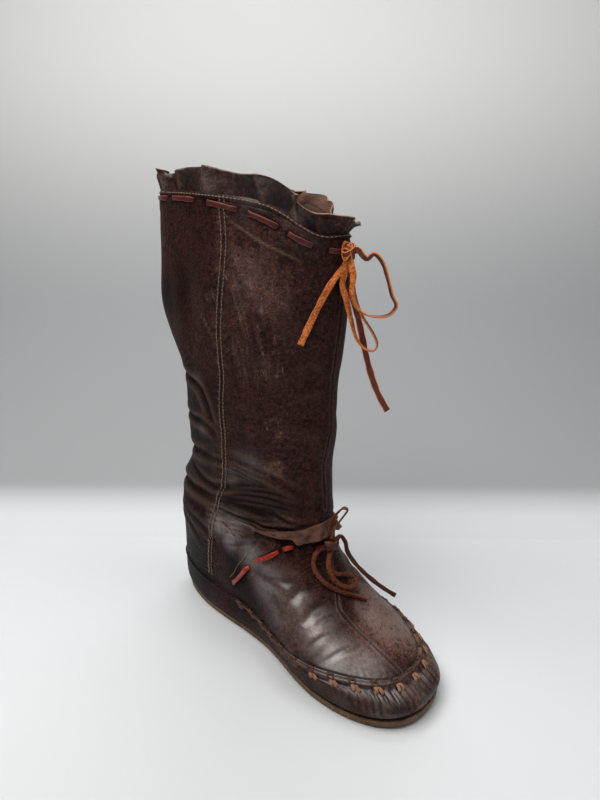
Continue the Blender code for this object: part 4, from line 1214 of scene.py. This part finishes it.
def knot_frame(place):
    u, v = np.array([place[0]]), np.array([place[1]])
    out = outward(u, v)[0]
    along = unit(bare(u + round_step, v) - bare(u - round_step, v))[0]
    up = unit(np.cross(along, out))
    if up[2] < 0:
        up = -up
    clear = lace_rise + lace_thick / 2 + 1.5 * gap + cord_round / 2 + knot_out
    return bare(u, v)[0] + clear * out, along, out, up


def carried(points, first):
    """A way out at each point, carried along the curve without twisting."""
    along = unit(np.gradient(points, axis=0))
    ways = [unit(first - along[0] * (first @ along[0]))]
    for a in along[1:]:
        w = ways[-1] - a * (ways[-1] @ a)
        ways.append(unit(w))
    return along, np.array(ways)


def turned(along, ways, degrees):
    angle = np.radians(degrees)[:, None]
    return ways * np.cos(angle) + np.cross(along, ways) * np.sin(angle)


def bow_cord(name, points, ways, finish, wraps=()):
    """One cord of a bow, dressed as a flat ribbon. A knot's bands are its wraps."""
    wide = (4.9 if finish == bow_orange else 3.6) * MM
    piece = lace_piece(name, [(points, ways, wide, ribbon_thick, False), *wraps], finish, name)
    piece.name = name + "_lace"
    length = float(run_along(points)[-1])
    return length


BANDS = (
    # slant, reach in mm, shift in mm of each band round a knot
    (0.8, 5.4, 1.4), (-0.6, 5.2, -1.6), (0.2, 5.4, 0.4),
)
for place, bow, knot_name, upright, colour in (
    (COLLAR_KNOT, COLLAR_BOW, "collar_knot", True, bow_orange),
    (VAMP_KNOT, VAMP_BOW, "vamp_knot", False, bow_russet),
):
    middle, along, out, up = knot_frame(place)
    axis, tall = (along, up) if upright else (up, along)
    angle = 2 * np.pi * (np.arange(55) / 36 - knot_turns / 2)[:, None]
    coil = middle + axis * knot_pitch * angle / (2 * np.pi)
    coil = coil + tall * knot_long * 0.95 * np.sin(angle) + out * knot_out * np.cos(angle)
    knot_ways = tall * np.sin(angle) + out * np.cos(angle)
    core = middle + np.linspace(-0.8, 0.8, 9)[:, None] * tall * knot_long
    wraps = [(core, np.tile(out, (9, 1)), 5.6 * MM, 4.6 * MM, False)]
    ring_angle = np.linspace(0, 2 * np.pi, 25)[:-1, None]
    for slope, reach, shift in BANDS:
        slant = tall * math.cos(slope) + axis * math.sin(slope)
        ways = slant * np.cos(ring_angle) + out * np.sin(ring_angle)
        band = middle + tall * shift * MM + slant * reach * MM * np.cos(ring_angle)
        wraps.append((band + out * 4.0 * MM * np.sin(ring_angle), ways, 4.2 * MM, 1.5 * MM, True))
    lengths = [bow_cord(knot_name, coil, knot_ways, colour, wraps)]
    for name, far_end, face, start_turn, end_turn, table in bow:
        table = np.array(table) / 1000
        last = [] if far_end == "bare" else [0.3 * table[-1]]
        places = middle + bow_reach * np.array([0.3 * table[0], *table, *last])
        run = run_along(places)
        fine = np.linspace(0, run[-1], max(24, int(run[-1] / (1.6 * MM))))
        line = np.stack([through(run, column, fine) for column in places.T], -1)
        tangent, ways = carried(line, np.array(face))
        share = np.linspace(0, 1, len(fine))
        ways = turned(tangent, ways, start_turn + (end_turn - start_turn) * share + 14 * np.sin(9 * share))
        lengths.append(bow_cord(name, line, ways, colour))
    print(knot_name, "lengths in mm:", [round(x / MM) for x in lengths])

# %% [markdown]
# ## Stitches
# Thread shows along the side seams in two pale rows, and in single rows under the frill, along the
# edge of the heel's stiffener and beside the ankle's drawstring. Each stitch is a small rounded grain
# pressed into the hide, and all of one colour are one mesh.

# %% The thread
def thread(name, low, high):
    f = Finish(name)
    strand = f.noise(0.0009, 3, 0.6)
    f.set(Base_Color=strand.rise(0.35, 0.7).blend(low, high), Roughness=0.62 + (strand - 0.5) * 0.2,
          Normal=f.bump(strand, 0.0003, 0.6))
    return f.material


seam_thread = thread("waxed_thread", (0.13, 0.085, 0.060), (0.32, 0.235, 0.175))
edge_thread = thread("dark_thread", (0.16, 0.098, 0.066), (0.36, 0.25, 0.18))
GRAIN = []
for x, r in ((-0.5, 0.25), (-0.36, 0.8), (0.0, 1.0), (0.36, 0.8), (0.5, 0.25)):
    GRAIN += [(x, r * math.cos(a * math.pi / 3), r * math.sin(a * math.pi / 3)) for a in range(6)]
GRAIN = np.array(GRAIN)
GRAIN_FACES = [tuple(f) for f in net(5, 6)[:, ::-1]] + [tuple(range(6)), tuple(range(29, 23, -1))]


def stitch_row(line, offset, pitch, long, thick, lift):
    """Stitches along a line over the hide, moved sideways by offset: their points."""
    u, v, path = line_points(line, 12)
    run = run_along(path)
    at = np.arange(pitch / 2, run[-1] - 1 * MM, pitch)
    su, sv = np.interp(at, run, u), np.interp(at, run, v)
    points, way = bare(su, sv), outward(su, sv)
    along = unit(bare(np.interp(at + 1 * MM, run, u), np.interp(at + 1 * MM, run, v)) - points)
    across = np.cross(along, way)
    sideways = (bare(su + 0.002, sv) - points) / 0.002
    su = su + offset * (across * sideways).sum(1) / (sideways * sideways).sum(1)
    points = bare(su, sv)
    middle = points + way * (relief(su, sv, points)[0] + lift)[:, None]
    return (middle[:, None] + GRAIN[:, :1] * long * along[:, None]
            + GRAIN[:, 1:2] * thick / 2 * across[:, None] + GRAIN[:, 2:] * thick / 2 * way[:, None])


COLLAR_EDGE = ((0.0, 17.93), (0.1, 17.93), (0.2, 17.93), (0.3, 17.92), (0.4, 17.92), (0.5, 17.92))
HEEL_EDGE = ((0.231, 8.40), (0.223, 7.9), (0.215, 7.4), (0.197, 6.2), (0.183, 5.0), (0.176, 3.9))
ANKLE_EDGE = ((0.222, 4.45), (0.235, 4.95), (0.250, 5.62), (0.279, 6.60), (0.30, 7.2), (0.325, 7.65))
pale_stitches, dark_stitches = [], []
for line in (SIDE_SEAM, far(SIDE_SEAM)):
    for offset in (-2.1 * MM, 2.1 * MM):
        pale_stitches += list(stitch_row(line, offset, 2.9 * MM, 2.6 * MM, 0.95 * MM, 0.34 * MM))
for edge, pitch, long, lift in (
    (COLLAR_EDGE, 3.3, 2.6, 0.25), (HEEL_EDGE, 2.9, 2.2, 0.28), (ANKLE_EDGE, 2.9, 2.2, 0.28),
):
    for line in (edge, far(edge)):
        dark_stitches += list(stitch_row(line, 0, pitch * MM, long * MM, 0.8 * MM, lift * MM))
for name, grains, finish in (
    ("seam_stitches", pale_stitches, seam_thread), ("edge_stitches", dark_stitches, edge_thread),
):
    all_faces = [tuple(30 * k + i for i in face) for k in range(len(grains)) for face in GRAIN_FACES]
    piece = mesh_piece(name, np.concatenate(grains), all_faces, [finish])
    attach(piece, "root")
    print(name, len(grains))

# %% [markdown]
# ## The crepe sole
# The sole is a thin sheet of crepe rubber, cut round the foot and darkened with dirt. Its outline is
# the model's, with more points, and its side has a slight step and the rubber's crumbly skin.

# %% The sole
def sole_ring(inset, height, count=300):
    sizes = np.array(foot_row((0, 1, 0.60, 0.71, 1.0, 0.73, 0, 0, 0, 0, 0, 0), 0, 0))
    u = np.arange(count) / count
    points = loop(np.broadcast_to(sizes, (count, len(sizes))).astype(float), u)
    middle = sole_length / 2
    points[:, 0] = middle + (points[:, 0] - middle) * (1 - inset / middle)
    points[:, 1] *= 1 - inset / ball_half
    points[:, 1] += toe_shift(points[:, 0])
    points[:, 2] = height + spring(points[:, 0])
    return points


bottom = sole_ring(welt_step, 0)
share = (bottom[:, 0] / sole_length - 0.32) / 0.24
bottom[:, 2] += np.where((share > 0) & (share < 1), arch_lift * np.sin(np.pi * share), 0)
inner_bottom = bottom.copy()
shift = toe_shift(inner_bottom[:, 0])
inner_bottom[:, 1] = (inner_bottom[:, 1] - shift) * 0.4 + shift
rings = [inner_bottom, bottom]
for inset, height in ((0.3, 0.12), (0, 0.3), (0.15, 0.45), (0.05, 0.6), (0, 0.8), (0.2, 0.95), (0.6, 1)):
    rings.append(sole_ring(inset * welt_step, height * sole_thick))
top_inset = 5 * MM
rings.append(sole_ring(top_inset, sole_thick))
sole_points = np.concatenate(rings)
sole_points[:, 0] -= heel_seat
sole_count = len(bottom)
sole_faces = [tuple(f) for f in net(len(rings), sole_count)]
for start, up_face in ((0, False), ((len(rings) - 1) * sole_count, True)):
    for k in range(sole_count // 2):
        corners = []
        for corner in (k, k + 1, (sole_count - k - 1) % sole_count, (sole_count - k) % sole_count):
            if start + corner not in corners:
                corners.append(start + corner)
        sole_faces.append(tuple(corners) if up_face else tuple(reversed(corners)))
f = Finish("crepe_rubber")
crumb = f.cells(0.0022)
dirt = f.noise(0.013, 5, 0.65)
fine_crumb = f.noise(0.0012, 4, 0.7)
layer = f.noise(0.02, 3, 0.5, stretch=(1.0, 1.0, 30.0))
colour = (dirt * 0.8 + crumb * 0.3).rise(0.25, 0.8).blend((0.075, 0.038, 0.018), (0.235, 0.135, 0.070))
colour = (layer.rise(0.5, 0.7) * 0.5).blend(colour, (0.06, 0.032, 0.018))
f.set(Base_Color=colour, Roughness=0.78 + (fine_crumb - 0.5) * 0.25,
      Normal=f.bump(crumb * 0.5 + fine_crumb * 0.6, 0.0009, 0.7))
sole = mesh_piece("crepe_sole", sole_points, sole_faces, [f.material])
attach(sole, "root")
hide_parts("outsole")
print("sole faces:", len(sole_faces))

# %% [markdown]
# ## The insole
# The insole's solid already has the right shape, a thin board inside the foot, so only its material
# changes: smooth leather, darker and lighter in soft clouds.

# %% The insole's finish
f = Finish("insole_leather")
cloud = f.noise(0.03, 4, 0.6)
pores = f.cells(0.0011)
f.set(Base_Color=cloud.rise(0.3, 0.7).blend((0.055, 0.030, 0.018), (0.17, 0.10, 0.062)),
      Roughness=0.6 + (cloud - 0.5) * 0.3, Normal=f.bump(pores + cloud * 0.4, 0.0004, 0.5))
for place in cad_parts["insole"].material_slots:
    place.material = f.material
print("insole slots:", len(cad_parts["insole"].material_slots))

# %% [markdown]
# ## Floor, backdrop and light
# The boot stands on a pale floor that runs up into a backdrop in one sweep, so no corner shows. The
# backdrop's colour carries painted shade and light: grey low down, near white higher up.
# A broad warm light from above and the left gives the hide its long soft highlights, a second one
# above the toe evens the floor, a weak one from the right lifts the shaded side, and the last one is
# aimed at the backdrop. The floor is a little cool, so that it comes out neutral under warm light.

# %% The studio
floor_colour = (0.74, 0.785, 0.815)
floor = Finish("pale_floor")
colour = floor.noise(0.4, 3, 0.5).rise(0.3, 0.7).blend(floor_colour, (0.78, 0.825, 0.855))
floor.set(Base_Color=colour, Roughness=0.62, Normal=floor.bump(floor.noise(0.002, 3, 0.6), 0.0002, 0.2))
backdrop = Finish("backdrop_painted_light")
high = backdrop.place.make("ShaderNodeSeparateXYZ", {}, {"Vector": backdrop.place}, 2)
# painted shade and light on the backdrop: floor colour at its foot, grey above that, turning near white
# from 0.16 m to 0.8 m up
colour = high.rise(0.0, 0.011).blend(floor_colour, (0.365, 0.38, 0.395))
colour = high.rise(0.16, 0.80).blend(colour, (0.94, 0.96, 0.955))
backdrop.set(Base_Color=colour, Roughness=0.8,
             Normal=backdrop.bump(backdrop.noise(0.002, 3, 0.6), 0.0002, 0.2))
view_flat = np.array([-math.cos(heading), math.sin(heading), 0.0])
side_flat = np.array([view_flat[1], -view_flat[0], 0.0])
start_point = np.array([lens_place.x, lens_place.y, 0.0])
sweep_start, sweep_round, sweep_steps = 0.605, 0.78, 24
sweep_high, sweep_half, floor_drop = 2.4, 2.5, 0.0002
profile = [(-1.5, 0.0), (0.0, 0.0), (sweep_start, 0.0)]
for k in range(1, sweep_steps + 1):
    a = math.radians(90 * k / sweep_steps)
    profile.append((sweep_start + sweep_round * math.sin(a), sweep_round * (1 - math.cos(a))))
profile.append((sweep_start + sweep_round, sweep_high))
stage_points = [start_point + d * view_flat + s * side_flat + np.array([0, 0, z - floor_drop])
                for d, z in profile for s in (-sweep_half, sweep_half)]
stage_faces = [(2 * k, 2 * k + 1, 2 * k + 3, 2 * k + 2) for k in range(len(profile) - 1)]
stage = mesh_piece("studio_sweep", stage_points, stage_faces, [floor.material, backdrop.material],
                   [0 if k < 2 else 1 for k in range(len(stage_faces))])


def softbox(name, place, aim, wide, tall, power, colour):
    data = bpy.data.lights.new(name, "AREA")
    data.shape = "RECTANGLE"
    data.size, data.size_y = wide, tall
    data.energy = power
    data.color = colour
    made = bpy.data.objects.new(name, data)
    made.location = place
    made.rotation_mode = "QUATERNION"
    made.rotation_quaternion = (Vector(aim) - Vector(place)).to_track_quat("-Z", "Y")
    bpy.context.scene.collection.objects.link(made)


boot_middle = (0.07, 0.0, 0.17)
warm, white = (1.0, 0.95, 0.91), (1, 1, 1)
softbox("key_above", (-0.06, -0.50, 1.12), boot_middle, 0.95, 0.6, 10.6, warm)
softbox("top_light", (0.42, 0.16, 1.22), boot_middle, 0.7, 0.7, 4.0, warm)
softbox("right_fill", (1.2, 0.45, 0.8), boot_middle, 0.5, 0.7, 1.0, warm)
softbox("sweep_light", (-0.45, 0.57, 1.6), (-0.68, 0.88, 0.78), 1.0, 0.3, 6.4, white)
world = bpy.data.worlds.new("studio_air")
world.use_nodes = True
air = world.node_tree.nodes["Background"].inputs
air["Color"].default_value = (0.80, 0.83, 0.87, 1)
air["Strength"].default_value = 0.10
bpy.context.scene.world = world
bpy.context.scene.view_settings.view_transform = "Standard"
print("lights:", len(bpy.data.lights))
